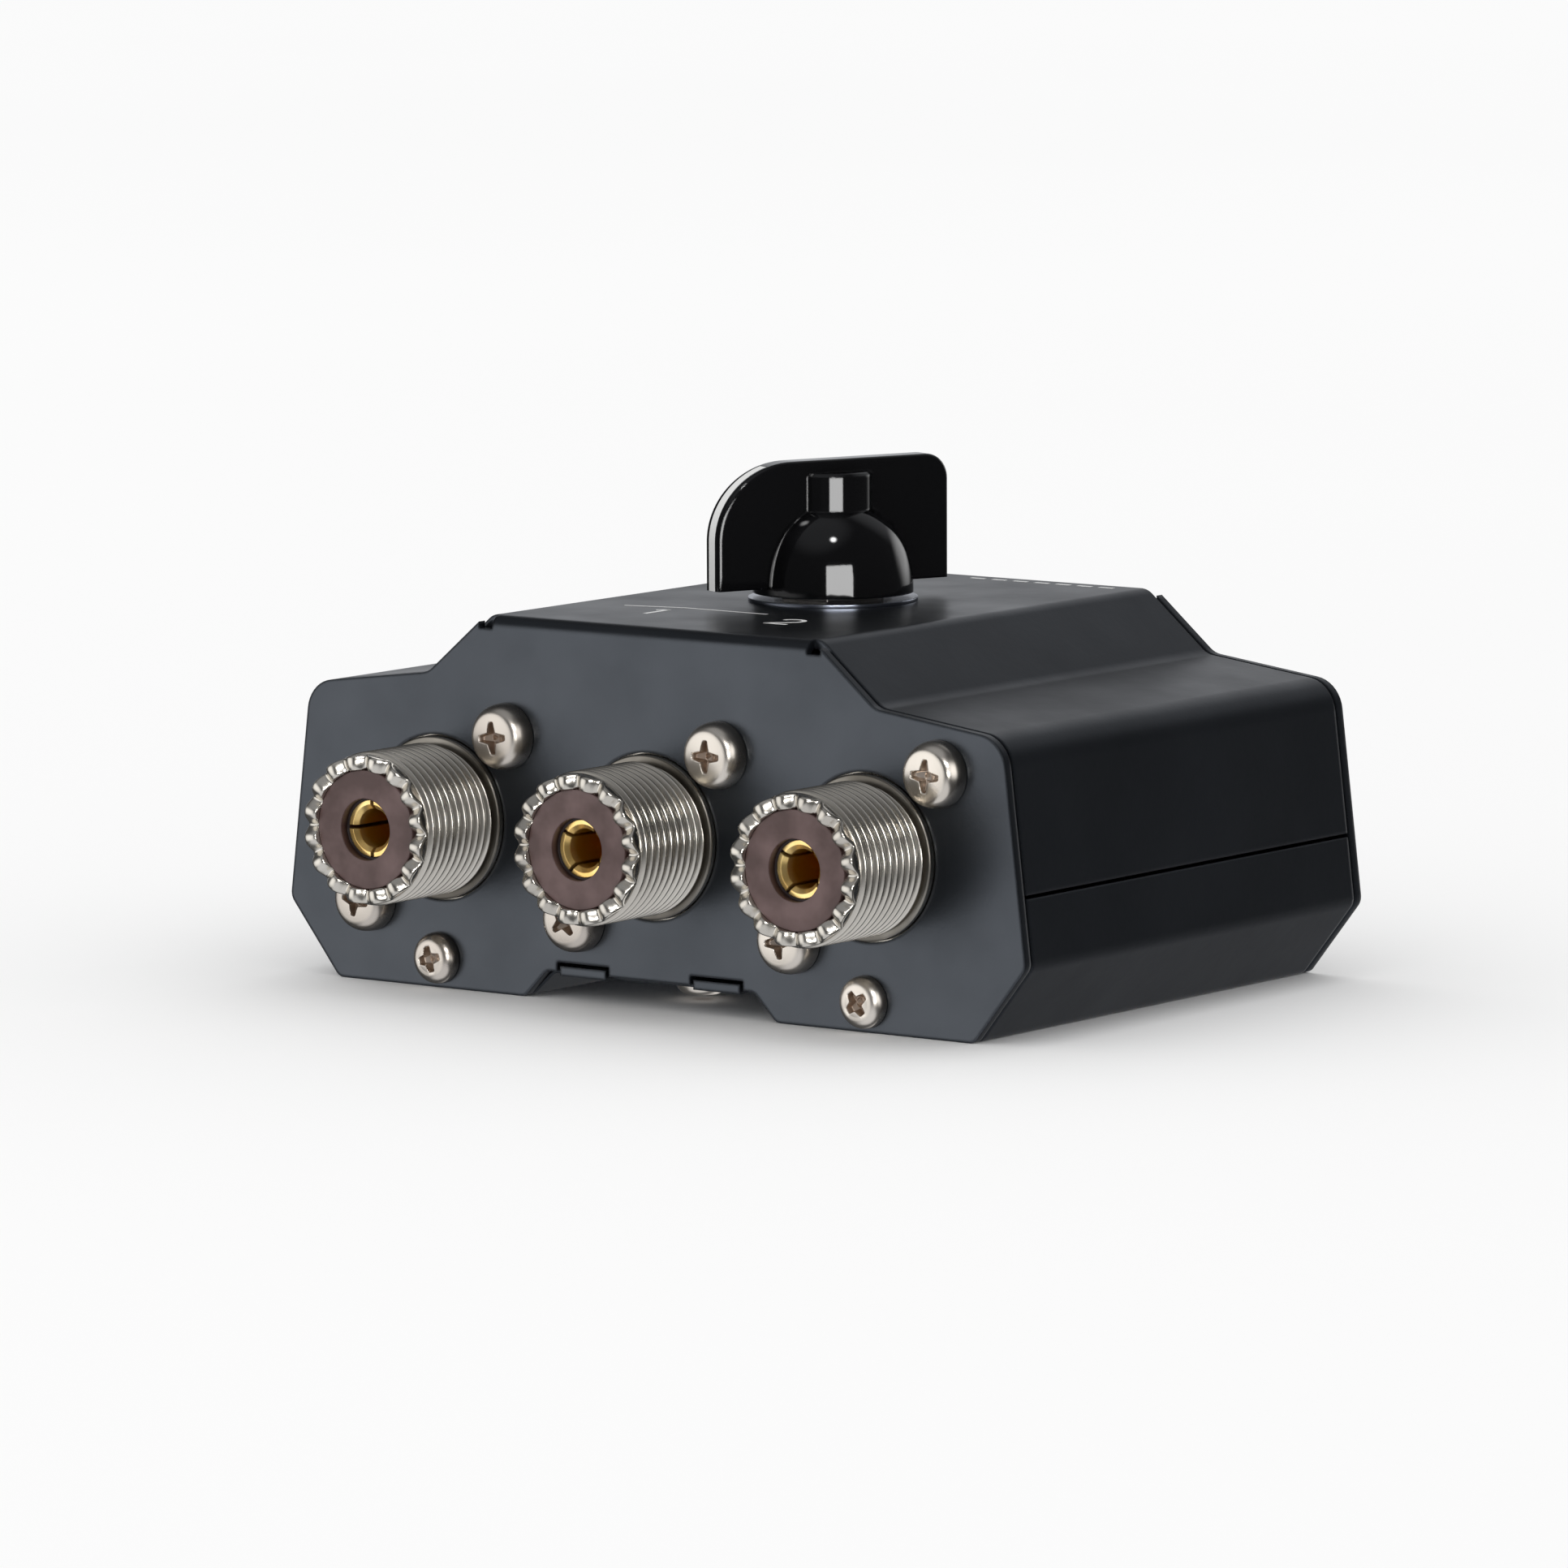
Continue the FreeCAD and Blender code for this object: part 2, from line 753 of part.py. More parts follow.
def knob():
    # Moulded in one: blade, dome and neck, hollow below for the bushing nut.
    blade = blade_block(0.0, blade_thick / 2)
    rims = []
    for edge in blade.Edges:
        on_side = abs(abs(edge.CenterOfMass.x) - blade_thick / 2) < skim
        at_foot = edge.BoundBox.ZMax < knob_base + blade_lift + skim
        if on_side and not at_foot:
            rims.append(edge)
    blade = blade.makeFillet(blade_edge, rims)
    arch_points = dome_arch()
    top = knob_base + neck_top
    base = vec(0, 0, knob_base)
    arch = Part.BSplineCurve()
    arch.interpolate(arch_points)
    rim = vec(neck_radius, 0, top - neck_edge)
    crown = vec(neck_radius - neck_edge, 0, top)
    profile = [
        Part.LineSegment(base, base + vec(dome_radius, 0, 0)).toShape(),
        arch.toShape(),
        Part.LineSegment(arch_points[-1], rim).toShape(),
        Part.LineSegment(rim, crown).toShape(),
        Part.LineSegment(crown, vec(0, 0, top)).toShape(),
        Part.LineSegment(vec(0, 0, top), base).toShape(),
    ]
    dome = Part.Face(Part.Wire(profile)).revolve(vec(0, 0, 0), up, 360)
    body = dome.fuse(blade)
    pocket_radius = hex_reach(bushing_nut_width) + nut_pocket_clearance
    pocket = rod(pocket_radius, base, up, clip_top + pocket_gap - knob_base)
    bore = rod(shaft_radius + press_clearance, base, up, knob_bore_depth)
    grub_start = vec(0, 0, knob_base + grub_height)
    grub_hole = rod(grub_radius + thread_clearance, grub_start, vec(-1, 0, 0), through)
    return turn_to_rest(body.cut([pocket, bore, grub_hole, line_band()]))


def pointer_line():
    return turn_to_rest(line_band())


def knob_grub_screw():
    # Headless screw on the side away from the sockets, tightened on the flat of the shaft.
    outer = shaft_flat + thread_clearance + grub_length
    start = vec(-outer, 0, knob_base + grub_height)
    screw = rod(grub_radius, start, vec(1, 0, 0), grub_length)
    hex_socket = hex_bar(grub_hex, grub_hex_depth, start, vec(1, 0, 0))
    return turn_to_rest(screw.cut(hex_socket))


def dial_ring():
    # Bright washer that shows round the foot of the knob.
    place = knob_centre + up * plateau_height
    disc = rod(ring_radius, place, up, ring_thick)
    return disc.cut(rod(bushing_radius + hole_clearance, place, up, ring_thick))


def bushing_nut():
    place = knob_centre + up * ring_top
    return hex_nut(bushing_nut_width, bushing_nut_height, bushing_radius + thread_clearance, place, up)


def shaft_bushing():
    # Turned bush: collar under the deck, threaded neck through the plateau.
    collar = rod(bushing_collar_radius, knob_centre + up * bushing_bottom, up, bushing_collar_thick)
    neck = rod(bushing_radius, knob_centre + up * bushing_bottom, up, bushing_end - bushing_bottom)
    bore = rod(shaft_radius + shaft_clearance, knob_centre, up, through)
    return fuse_all([collar, neck]).cut(bore)


def drive_bar(radius, flat, z0, z1):
    # Round bar with one flat along it.
    bar = rod(radius, vec(0, 0, z0), up, z1 - z0)
    return bar.cut(block(-2 * radius, -flat, -2 * radius, 2 * radius, z0, z1))


def shaft():
    # Thick upper part in the bushing, thin flatted part that drives the rotor.
    thick = drive_bar(shaft_radius, shaft_radius, wheel_bottom, knob_base + knob_bore_depth)
    flat = block(-2 * shaft_radius, -shaft_flat, -shaft_radius, shaft_radius, clip_top, through)
    thin = drive_bar(drive_radius, drive_flat, wafer_bottom - drive_past, wheel_bottom)
    bar = thick.fuse(thin)
    disc = rod(clip_outer, vec(0, 0, clip_bottom), up, clip_thick)
    groove = disc.cut(rod(shaft_radius - clip_groove, vec(0, 0, 0), up, through))
    return turn_to_rest(bar.cut([groove, flat]))


def shaft_clip():
    # Open spring clip in the groove above the bushing.
    disc = rod(clip_outer, vec(0, 0, clip_bottom), up, clip_thick)
    hole = rod(shaft_radius - clip_groove + press_clearance, vec(0, 0, 0), up, through)
    mouth = block(0, clip_outer, -clip_mouth / 2, clip_mouth / 2, 0, through)
    return turn_to_rest(disc.cut([hole, mouth]))


def switch_deck():
    # Stamped plate that the bushing holds under the plateau; it carries the posts and the spring.
    half_x = deck_length / 2
    half_y = deck_width / 2
    corners = [(-half_x, -half_y), (half_x, -half_y), (half_x, half_y), (-half_x, half_y)]
    outline = rounded_wire(corners, [deck_corner] * 4, flat_at(deck_bottom))
    plate = Part.Face(outline).extrude(up * deck_thick)
    cuts = [rod(bushing_radius + press_clearance, vec(0, 0, 0), up, through)]
    cuts.append(rod(stop_radius + press_clearance, vec(0, stop_place, 0), up, through))
    for side in (-1, 1):
        cuts.append(rod(post_tenon_radius + press_clearance, vec(side * post_x, post_y, 0), up, through))
    cuts.append(rod(rivet_radius + press_clearance, vec(leaf_rivet_x, leaf_rivet_y, 0), up, through))
    deck = plate.cut(cuts)
    deck.translate(knob_centre)
    return deck


def stop_pin():
    length = deck_top - wheel_bottom
    return rod(stop_radius, knob_centre + vec(0, stop_place, wheel_bottom), up, length)


def arc_slot(radius, half_width, a0, a1, z0, z1):
    # Slot along an arc about the shaft, with round ends.
    middle = (a0 + a1) / 2
    outer = [polar(radius + half_width, angle, z0) for angle in (a0, middle, a1)]
    inner = [polar(radius - half_width, angle, z0) for angle in (a1, middle, a0)]
    edges = [
        Part.Arc(*outer).toShape(),
        Part.LineSegment(outer[2], inner[0]).toShape(),
        Part.Arc(*inner).toShape(),
        Part.LineSegment(inner[2], outer[0]).toShape(),
    ]
    slot = Part.Face(Part.Wire(edges)).extrude(up * (z1 - z0))
    ends = [rod(half_width, polar(radius, angle, z0), up, z1 - z0) for angle in (a0, a1)]
    return fuse_all([slot] + ends)


def detent_wheel():
    # Wheel with two notches and an arc slot; the stop pin in the slot ends the turn both ways.
    wheel = rod(wheel_radius, vec(0, 0, wheel_bottom), up, wheel_thick)
    cuts = [rod(shaft_radius + press_clearance, vec(0, 0, 0), up, through)]
    low = stop_angle - knob_turn - stop_slack
    high = stop_angle + stop_slack
    slot_half = stop_radius + stop_clearance
    cuts.append(arc_slot(stop_place, slot_half, low, high, wheel_bottom, wheel_top))
    notch_place = wheel_radius - notch_depth + notch_radius
    for angle in (0.0, -knob_turn):
        cuts.append(rod(notch_radius, polar(notch_place, angle, 0), up, through))
    wheel = wheel.cut(cuts)
    wheel.translate(knob_centre)
    return wheel


def detent_spring():
    # Leaf on edge: a foot riveted to the deck, a straight run and a nose that drops in the notches.
    near = leaf_place
    far = leaf_place + leaf_thick
    tip = wheel_radius + nose_gap - nose_radius * (math.sqrt(2) - 1)
    slant = near - tip
    over = leaf_thick * math.sqrt(2)
    start = -leaf_tail
    end = leaf_tip
    bump = leaf_thick * (math.sqrt(2) - 1)
    points = [
        (near, start),
        (near, -slant),
        (tip, 0),
        (near, slant),
        (near, end),
        (far, end),
        (far, slant - bump),
        (tip + over, 0),
        (far, -slant + bump),
        (far, start),
    ]
    radii = [0.0, 0.0, nose_radius, 0.0, 0.0, 0.0, 0.0, nose_radius - leaf_thick, 0.0, 0.0]
    strip = Part.Face(rounded_wire(points, radii, flat_at(wheel_bottom))).extrude(up * wheel_thick)
    leg = block(near, far, start, start + leaf_width, wheel_bottom, deck_bottom)
    foot = block(near, near + leaf_foot, start, start + leaf_width, deck_bottom - leaf_thick, deck_bottom)
    spring = fuse_all([strip, leg, foot])
    hole = rod(rivet_radius + press_clearance, vec(leaf_rivet_x, leaf_rivet_y, 0), up, through)
    spring = spring.cut(hole)
    spring.translate(knob_centre)
    return spring


def rivet(place, grip):
    # Upward from place: a head below, the shank through the grip.
    head = rod(rivet_head_radius, place - up * rivet_head_height, up, rivet_head_height)
    return head.fuse(rod(rivet_radius, place, up, grip)).removeSplitter()


def spring_rivet():
    place = knob_centre + vec(leaf_rivet_x, leaf_rivet_y, deck_bottom - leaf_thick)
    return rivet(place, leaf_thick + deck_thick)


def deck_posts():
    # Two turned posts; their tenons are pressed into the deck, screws hold the wafer below.
    posts = []
    for side in (-1, 1):
        place = knob_centre + vec(side * post_x, post_y, 0)
        body = rod(post_radius, place + up * wafer_top, up, deck_bottom - wafer_top)
        tenon = rod(post_tenon_radius, place + up * deck_bottom, up, deck_thick)
        hole = rod(thread_radius + thread_clearance, place, up, wafer_top + wafer_screw_length)
        posts.append(body.fuse(tenon).removeSplitter().cut(hole))
    return Part.makeCompound(posts)


def wafer_screws():
    screws = []
    for side in (-1, 1):
        seat = knob_centre + vec(side * post_x, post_y, wafer_bottom)
        length = wafer_thick + wafer_screw_length
        screws.append(pan_screw(wafer_head_radius, wafer_head_height, length, seat, up))
    return Part.makeCompound(screws)


def finger_angles():
    return [pointer_angle, 270.0, pointer_angle + knob_turn]


def wafer():
    # Insulating board with the three fixed contacts round the rotor.
    board = rod(wafer_radius, vec(0, 0, wafer_bottom), up, wafer_thick)
    cuts = [rod(wafer_hole, vec(0, 0, 0), up, through)]
    for side in (-1, 1):
        cuts.append(rod(thread_radius + hole_clearance, vec(side * post_x, post_y, 0), up, through))
    for angle in finger_angles():
        cuts.append(rod(rivet_radius + press_clearance, polar(finger_rivet, angle, 0), up, through))
    board = board.cut(cuts)
    board.translate(knob_centre)
    return board


def finger(inner, angle):
    # Stamped spring contact: a foot on the wafer, a riser and a finger over the turning contact.
    z0 = wafer_top
    z1 = finger_bottom
    t = finger_thick
    riser = finger_foot_inner
    points = [
        (finger_foot_outer, z0),
        (finger_foot_outer, z0 + t),
        (riser + t, z0 + t),
        (riser + t, z1 + t),
        (inner, z1 + t),
        (inner, z1),
        (riser, z1),
        (riser, z0),
    ]
    corners = [vec(r, -finger_width / 2, z) for r, z in points]
    part = Part.Face(Part.makePolygon(corners + corners[:1])).extrude(vec(0, finger_width, 0))
    part = part.cut(rod(rivet_radius + press_clearance, vec(finger_rivet, 0, 0), up, through))
    part.rotate(vec(0, 0, 0), up, angle)
    part.translate(knob_centre)
    return part


def contact_rivets():
    rivets = []
    for angle in finger_angles():
        place = knob_centre + polar(finger_rivet, angle, wafer_bottom)
        shank = rivet(place, wafer_thick + finger_thick)
        head = rod(rivet_head_radius, place + up * (wafer_thick + finger_thick), up, rivet_head_height)
        rivets.append(shank.fuse(head).removeSplitter())
    return Part.makeCompound(rivets)


def rotor_hub():
    # Insulating hub in the hole of the wafer, driven by the flat of the shaft.
    disc = rod(wafer_hole - rotor_gap, vec(0, 0, wafer_bottom), up, contact_strip_bottom - wafer_bottom)
    boss = rod(rotor_boss_radius, vec(0, 0, contact_strip_bottom), up, rotor_boss_height)
    bore = drive_bar(drive_radius + press_clearance, drive_flat + press_clearance, 0, through)
    return turn_to_rest(fuse_all([disc, boss]).cut(bore))


def rotor_contact():
    # Silvered ring round the hub with a tongue that sweeps under the fingers.
    z = contact_strip_bottom
    ring = rod(wafer_hole - rotor_gap, vec(0, 0, z), up, blade_contact_thick)
    half = blade_contact_width / 2
    tongue = block(-half, half, -blade_contact_reach, 0, z, z + blade_contact_thick)
    hole = rod(blade_contact_inner, vec(0, 0, 0), up, through)
    return turn_to_rest(fuse_all([ring, tongue]).cut(hole))


def side_link(side):
    # Wire from a side socket's cup, straight back, then across to its finger.
    angle = pointer_angle if side < 0 else pointer_angle + knob_turn
    crossing = knob_centre + polar(link_crossing_radius, angle, socket_height)
    x = side * socket_pitch
    start = vec(x, cup_end - link_cup_depth, socket_height)
    turn_in = vec(x, crossing.y - link_bend, socket_height)
    turn_out = vec(x - side * link_bend, crossing.y, socket_height)
    corner = link_bend * (1 - eighth_turn)
    turn_middle = vec(x - side * corner, crossing.y - corner, socket_height)
    end = vec(crossing.x + link_past if side < 0 else crossing.x - link_past, crossing.y, socket_height)
    path = Part.Wire([
        Part.LineSegment(start, turn_in).toShape(),
        Part.Arc(turn_in, turn_middle, turn_out).toShape(),
        Part.LineSegment(turn_out, end).toShape(),
    ])
    section = Part.Wire(Part.makeCircle(link_radius, start, rearward))
    return path.makePipeShell([section], True, True)


def common_link():
    start = vec(0, cup_end - link_cup_depth, socket_height)
    end_y = knob_y - link_crossing_radius + link_past
    return rod(link_radius, start, rearward, end_y - start.y)


def main():
    os.makedirs("parts", exist_ok=True)
    makers = [
        top_cover, bottom_cover, flange_screws, flange_nuts, panel_screws, base_screws, base_nuts,
        knob, pointer_line, knob_grub_screw, dial_ring, bushing_nut, shaft_bushing, shaft, shaft_clip,
        switch_deck, stop_pin, detent_wheel, detent_spring, spring_rivet, deck_posts,
        wafer, wafer_screws, contact_rivets, rotor_hub, rotor_contact, common_link,
    ]
    for make in makers:
        save(make.__name__, make())
    for number, x in enumerate(socket_places, 1):
        save("socket_shell_" + str(number), socket_shell(x))
        save("socket_core_" + str(number), socket_insulator(x))
        save("socket_contact_" + str(number), socket_contact(x, contact_slot_turns[number - 1]))
    first, common, second = finger_angles()
    save("common_finger", finger(common_finger_inner, common))
    for number, angle, side in ((1, first, -1), (2, second, 1)):
        save("throw_finger_" + str(number), finger(throw_finger_inner, angle))
        save("link_" + str(number), side_link(side))


main()
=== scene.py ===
import math

import bpy
import numpy as np
from mathutils import Matrix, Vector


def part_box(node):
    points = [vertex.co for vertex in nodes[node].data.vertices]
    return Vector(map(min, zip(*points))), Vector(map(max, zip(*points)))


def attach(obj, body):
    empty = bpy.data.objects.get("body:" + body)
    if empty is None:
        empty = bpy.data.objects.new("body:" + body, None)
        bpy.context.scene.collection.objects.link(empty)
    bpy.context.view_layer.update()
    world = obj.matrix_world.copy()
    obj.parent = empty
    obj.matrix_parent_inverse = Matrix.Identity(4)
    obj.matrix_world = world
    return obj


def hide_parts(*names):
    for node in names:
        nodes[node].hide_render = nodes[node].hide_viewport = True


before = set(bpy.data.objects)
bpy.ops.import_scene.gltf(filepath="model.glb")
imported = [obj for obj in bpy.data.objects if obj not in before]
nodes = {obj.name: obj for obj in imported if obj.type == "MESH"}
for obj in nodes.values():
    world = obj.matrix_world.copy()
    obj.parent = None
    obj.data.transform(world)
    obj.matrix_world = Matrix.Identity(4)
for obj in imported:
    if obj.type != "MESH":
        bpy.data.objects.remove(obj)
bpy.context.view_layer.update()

mm = 0.001
tau = 2.0 * math.pi
inch = 25.4
socketNumbers = (1, 2, 3)


# Meshes

def putMesh(name, points, quads, triangles=None, creaseAngle=40.0):
    # Points and faces go in as whole arrays. Six times the volume is the sum of a . (b x c) over the
    # triangles, and where that is negative the faces are turned round.
    points = np.asarray(points, float).reshape(-1, 3)
    quads = np.asarray(quads, np.int32).reshape(-1, 4)
    triangles = np.zeros((0, 3), np.int32) if triangles is None else np.asarray(triangles, np.int32)
    fans = np.concatenate([quads[:, :3], quads[:, [0, 2, 3]], triangles])
    a, b, c = (points[fans[:, k]] for k in range(3))
    if np.einsum("ij,ij->i", a, np.cross(b, c)).sum() < 0:
        quads, triangles = quads[:, ::-1], triangles[:, ::-1]
    loops = np.concatenate([quads.ravel(), triangles.ravel()]).astype(np.int32)
    quadStarts = np.arange(len(quads)) * 4
    triangleStarts = len(quads) * 4 + np.arange(len(triangles)) * 3
    starts = np.concatenate([quadStarts, triangleStarts]).astype(np.int32)
    mesh = bpy.data.meshes.new(name)
    mesh.vertices.add(len(points))
    mesh.vertices.foreach_set("co", points.ravel())
    mesh.loops.add(len(loops))
    mesh.loops.foreach_set("vertex_index", loops)
    mesh.polygons.add(len(starts))
    mesh.polygons.foreach_set("loop_start", starts)
    mesh.update(calc_edges=True)
    mesh.validate()
    mesh.polygons.foreach_set("use_smooth", np.ones(len(mesh.polygons), bool))
    mesh.set_sharp_from_angle(angle=math.radians(creaseAngle))
    return mesh


def mark(mesh, values):
    # Painted shade in hollows and corners, from 0 to 1 at each point, for the materials
    valley = mesh.attributes.new("valley", "FLOAT", "POINT")
    valley.data.foreach_set("value", values.astype(np.float32))


def gridQuads(rows, columns, ringRows=False, first=0):
    # Each face joins row i, column j to the next of both. Columns close on themselves, and rows
    # do so where the section is a ring.
    i = np.arange(rows if ringRows else rows - 1)[:, None]
    j = np.arange(columns)[None, :]
    below, beside = (i + 1) % rows, (j + 1) % columns
    corners = (i * columns + j, below * columns + j, below * columns + beside, i * columns + beside)
    return np.stack([np.broadcast_to(c, (i.size, columns)) for c in corners], -1).reshape(-1, 4) + first


def capFan(ring, pole):
    # Triangles from each edge of a ring to the pole
    return np.stack([ring, np.roll(ring, -1), np.full_like(ring, pole)], 1)


def stackRuns(runs, columns):
    # Two grids with a row for each ring and a column for each angle, made from pairs of radius and
    # distance along the axis. Each is a single number, a row or column of numbers, or a grid.
    wide = np.zeros((1, columns))
    pairs = [np.broadcast_arrays(np.atleast_2d(radius), np.atleast_2d(distance), wide)[:2]
             for radius, distance in runs]
    return [np.concatenate(grids) for grids in zip(*pairs)]


def smoothStep(low, high, value):
    # 3 t^2 - 2 t^3, with t running from 0 at low to 1 at high
    t = np.clip((value - low) / (high - low), 0.0, 1.0)
    return t * t * (3.0 - 2.0 * t)


def addPiece(name, mesh, body, replaced):
    # A new piece at the origin, which rides on a body and stands for the replaced nodes
    piece = bpy.data.objects.new(name, mesh)
    bpy.context.scene.collection.objects.link(piece)
    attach(piece, body)
    if replaced:
        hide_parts(*replaced)
    return piece


# Sockets: a threaded shell with a toothed lip

socket = dict(
    threadRadius=7.94, boreRadius=6.15, collarRadius=8.5,
    lipToCollar=12.1, collarToPlate=1.7, plateThickness=2.0, plateSide=25.0, plateCorner=3.6,
    threadsPerInch=24.0, threadDepth=0.58, threadStart=1.4,
    threadGap=0.02,                           # from the last ring of the thread to the collar
    crestHalf=0.06, flank=0.34,               # in pitches
    runIn=(-0.15, 0.35),                      # the thread rises here, from its start
    reliefWidth=0.3, reliefRadius=7.45,
    runOut=(-0.22, 0.04),                     # and falls here, from the front of the relief
    bandRadius=7.72, bandStep=0.03, bandEnd=1.26,
    lipRound=0.42, lipPower=0.6, lipRows=13,
    teeth=16, toothDepth=0.95, toothCrisp=0.85, toothPower=1.7,
    boreRings=((3.0, 0.0), (1.5, 0.15)),      # distance behind the lip, and share of the notch depth
    bandRing=(1.2, 0.12),
    edge=0.2, collarEdge=(0.22, 0.06),        # size of the round, and how far its middle is from both faces
    frontRings=(0.35, 0.7), backRings=(0.6, 0.25),  # shares of the way out on the plate's faces
    # share of the painted shade that goes into the thread's roots
    rootShade=0.32,
    flangeHole=1.7, holeOffset=9.1, pegOver=0.5,
    columns=224, rowsPerTurn=24, creaseAngle=75.0,
)


def roundedSquare(theta, half, corner):
    # Distance from the centre to a square with rounded corners: the side is half / cos, and the
    # corner is where the ray meets a circle of radius corner about (half - corner, half - corner).
    t = np.abs((theta + tau / 8) % (tau / 4) - tau / 8)
    side = half / np.cos(t)
    centre = half - corner
    along = centre * (np.cos(t) + np.sin(t))
    square = along ** 2 - 2.0 * centre ** 2 + corner ** 2
    turned = along + np.sqrt(np.maximum(square, 0.0))
    return np.where(side * np.sin(t) > centre, turned, side)


def softTriangle(turns, crispness):
    # 1 at whole turns and 0 half way, straight between, with soft corners:
    # 1/2 + asin(k cos 2 pi turns) / (2 asin k), kept from 0 to 1.
    wave = 0.5 + np.arcsin(crispness * np.cos(tau * turns)) / (2.0 * math.asin(crispness))
    return np.clip(wave, 0.0, 1.0)


def toothDrop(theta):
    # Depth of the lip at an angle: the notches are V cuts with soft corners, one of them at angle 0,
    # and a power of the wave widens the crests between them.
    wave = softTriangle(theta * socket["teeth"] / tau, socket["toothCrisp"])
    return socket["toothDepth"] * wave ** socket["toothPower"]


def threadShare(turns):
    # Share of the thread depth at a place along the thread, in pitches from a crest: flat over the
    # crest and the root, and between them the mean of a straight flank and a smooth step.
    u = np.abs((turns + 0.5) % 1.0 - 0.5)
    start, end = socket["crestHalf"], socket["crestHalf"] + socket["flank"]
    return (np.clip((u - start) / (end - start), 0.0, 1.0) + smoothStep(start, end, u)) / 2


def socketShell(name, centreX, lipY, centreZ):
    # One closed ring section carried round the barrel's axis. Each ring has a radius and a distance
    # from the lip, and near the lip a share of the notch depth at each angle is added to the distance.
    s = socket
    theta = np.arange(s["columns"]) * tau / s["columns"]
    notch = toothDrop(theta)
    bore, band, barrel, edge = s["boreRadius"], s["bandRadius"], s["collarRadius"], s["edge"]
    collar = s["lipToCollar"]
    plateFront = collar + s["collarToPlate"]
    plateBack = plateFront + s["plateThickness"]
    outline = roundedSquare(theta, s["plateSide"] / 2, s["plateCorner"])

    # Lip: the radius is half the sum of bore and band less half their difference times cos a, and the
    # distance is lipRound times 1 less a power of sin a, with a from 0 to pi. So each tooth is a bead.
    a = np.linspace(0.0, math.pi, s["lipRows"])[:, None]
    lipRadius = (bore + band) / 2 - (band - bore) / 2 * np.cos(a)
    lipDistance = s["lipRound"] * (1.0 - np.abs(np.sin(a)) ** s["lipPower"]) + notch

    # Helix: the radius falls from the crest by the thread's depth at distance / pitch less
    # angle / 2 pi. It fades in behind the band and out at the relief.
    pitch = inch / s["threadsPerInch"]
    start, relief = s["threadStart"], collar - s["reliefWidth"]
    turns = (collar - start) / pitch
    along = np.linspace(start + s["runIn"][0], collar - s["threadGap"], int(turns * s["rowsPerTurn"]))
    along = along[:, None]
    thread = s["threadRadius"] - s["threadDepth"] * threadShare(along / pitch - theta / tau)
    fadeIn = smoothStep(start + s["runIn"][0], start + s["runIn"][1], along)
    fadeOut = smoothStep(relief + s["runOut"][0], relief + s["runOut"][1], along)
    thread = (band - s["bandStep"]) * (1 - fadeIn) + thread * fadeIn
    thread = thread * (1 - fadeOut) + s["reliefRadius"] * fadeOut

    collarRound, collarMiddle = s["collarEdge"]
    runs = [(bore, plateBack)]
    runs += [(bore, distance + share * notch) for distance, share in s["boreRings"]]
    runs += [
        (lipRadius, lipDistance),
        (band, s["bandRing"][0] + s["bandRing"][1] * notch),
        (band - s["bandStep"], s["bandEnd"]),
        (thread, along),
        (s["reliefRadius"], collar),
        (barrel - collarRound, collar),
        (barrel - collarMiddle, collar + collarMiddle),
        (barrel, collar + collarRound),
        (barrel, plateFront),
    ]
    runs += [(barrel + share * (outline - barrel - edge), plateFront) for share in s["frontRings"]]
    runs += [
        (outline - edge, plateFront),
        (outline, plateFront + edge),
        (outline, plateBack - edge),
        (outline - edge, plateBack),
    ]
    runs += [(bore + share * (outline - bore), plateBack) for share in s["backRings"]]
    radius, distance = stackRuns(runs, s["columns"])
    points = np.stack([
        centreX + mm * radius * np.cos(theta),
        lipY + mm * distance,
        centreZ + mm * radius * np.sin(theta)], -1)
    quads = gridQuads(len(radius), s["columns"], ringRows=True)
    mesh = putMesh(name, points, quads, creaseAngle=s["creaseAngle"])

    # Painted shade: by the depth below the crest between the thread's start and the collar, and all over the
    # collar's front face, which is painted dark as the shade in the corner behind the last turn
    low = np.clip((s["threadRadius"] - radius) / s["threadDepth"], 0.0, 1.0)
    low = np.where((distance > start) & (distance < collar), low * s["rootShade"], 0.0)
    low = np.where((distance >= collar) & (distance <= collar + collarMiddle), 1.0, low)
    mark(mesh, low.ravel())
    return mesh


def pegs(name, places, radius, fromY, toY, columns=48):
    # Round pegs along Y for cutting: two rings and two caps each
    theta = np.arange(columns) * tau / columns
    points, quads, triangles = [], [], []
    for x, z in places:
        first = sum(len(p) for p in points)
        rings = [np.stack([x + radius * np.cos(theta), np.full(columns, y), z + radius * np.sin(theta)], -1)
                 for y in (fromY, toY)]
        points.append(np.concatenate(rings + [np.array([[x, fromY, z], [x, toY, z]])]))
        quads.append(gridQuads(2, columns, first=first))
        near = first + np.arange(columns)
        triangles.append(capFan(near[::-1], first + 2 * columns))
        triangles.append(capFan(near + columns, first + 2 * columns + 1))
    return putMesh(name, np.concatenate(points), np.concatenate(quads), np.concatenate(triangles))


def drill(piece, cutterMesh):
    # Takes the pegs out of a piece and keeps the result as its mesh
    cutter = bpy.data.objects.new("cutter", cutterMesh)
    bpy.context.scene.collection.objects.link(cutter)
    boolean = piece.modifiers.new("holes", "BOOLEAN")
    boolean.operation = "DIFFERENCE"
    boolean.solver = "EXACT"
    boolean.object = cutter
    bpy.context.view_layer.update()
    graph = bpy.context.evaluated_depsgraph_get()
    drilled = bpy.data.meshes.new_from_object(piece.evaluated_get(graph))
    piece.modifiers.clear()
    plain, piece.data = piece.data, drilled
    bpy.data.meshes.remove(plain)
    bpy.data.objects.remove(cutter)


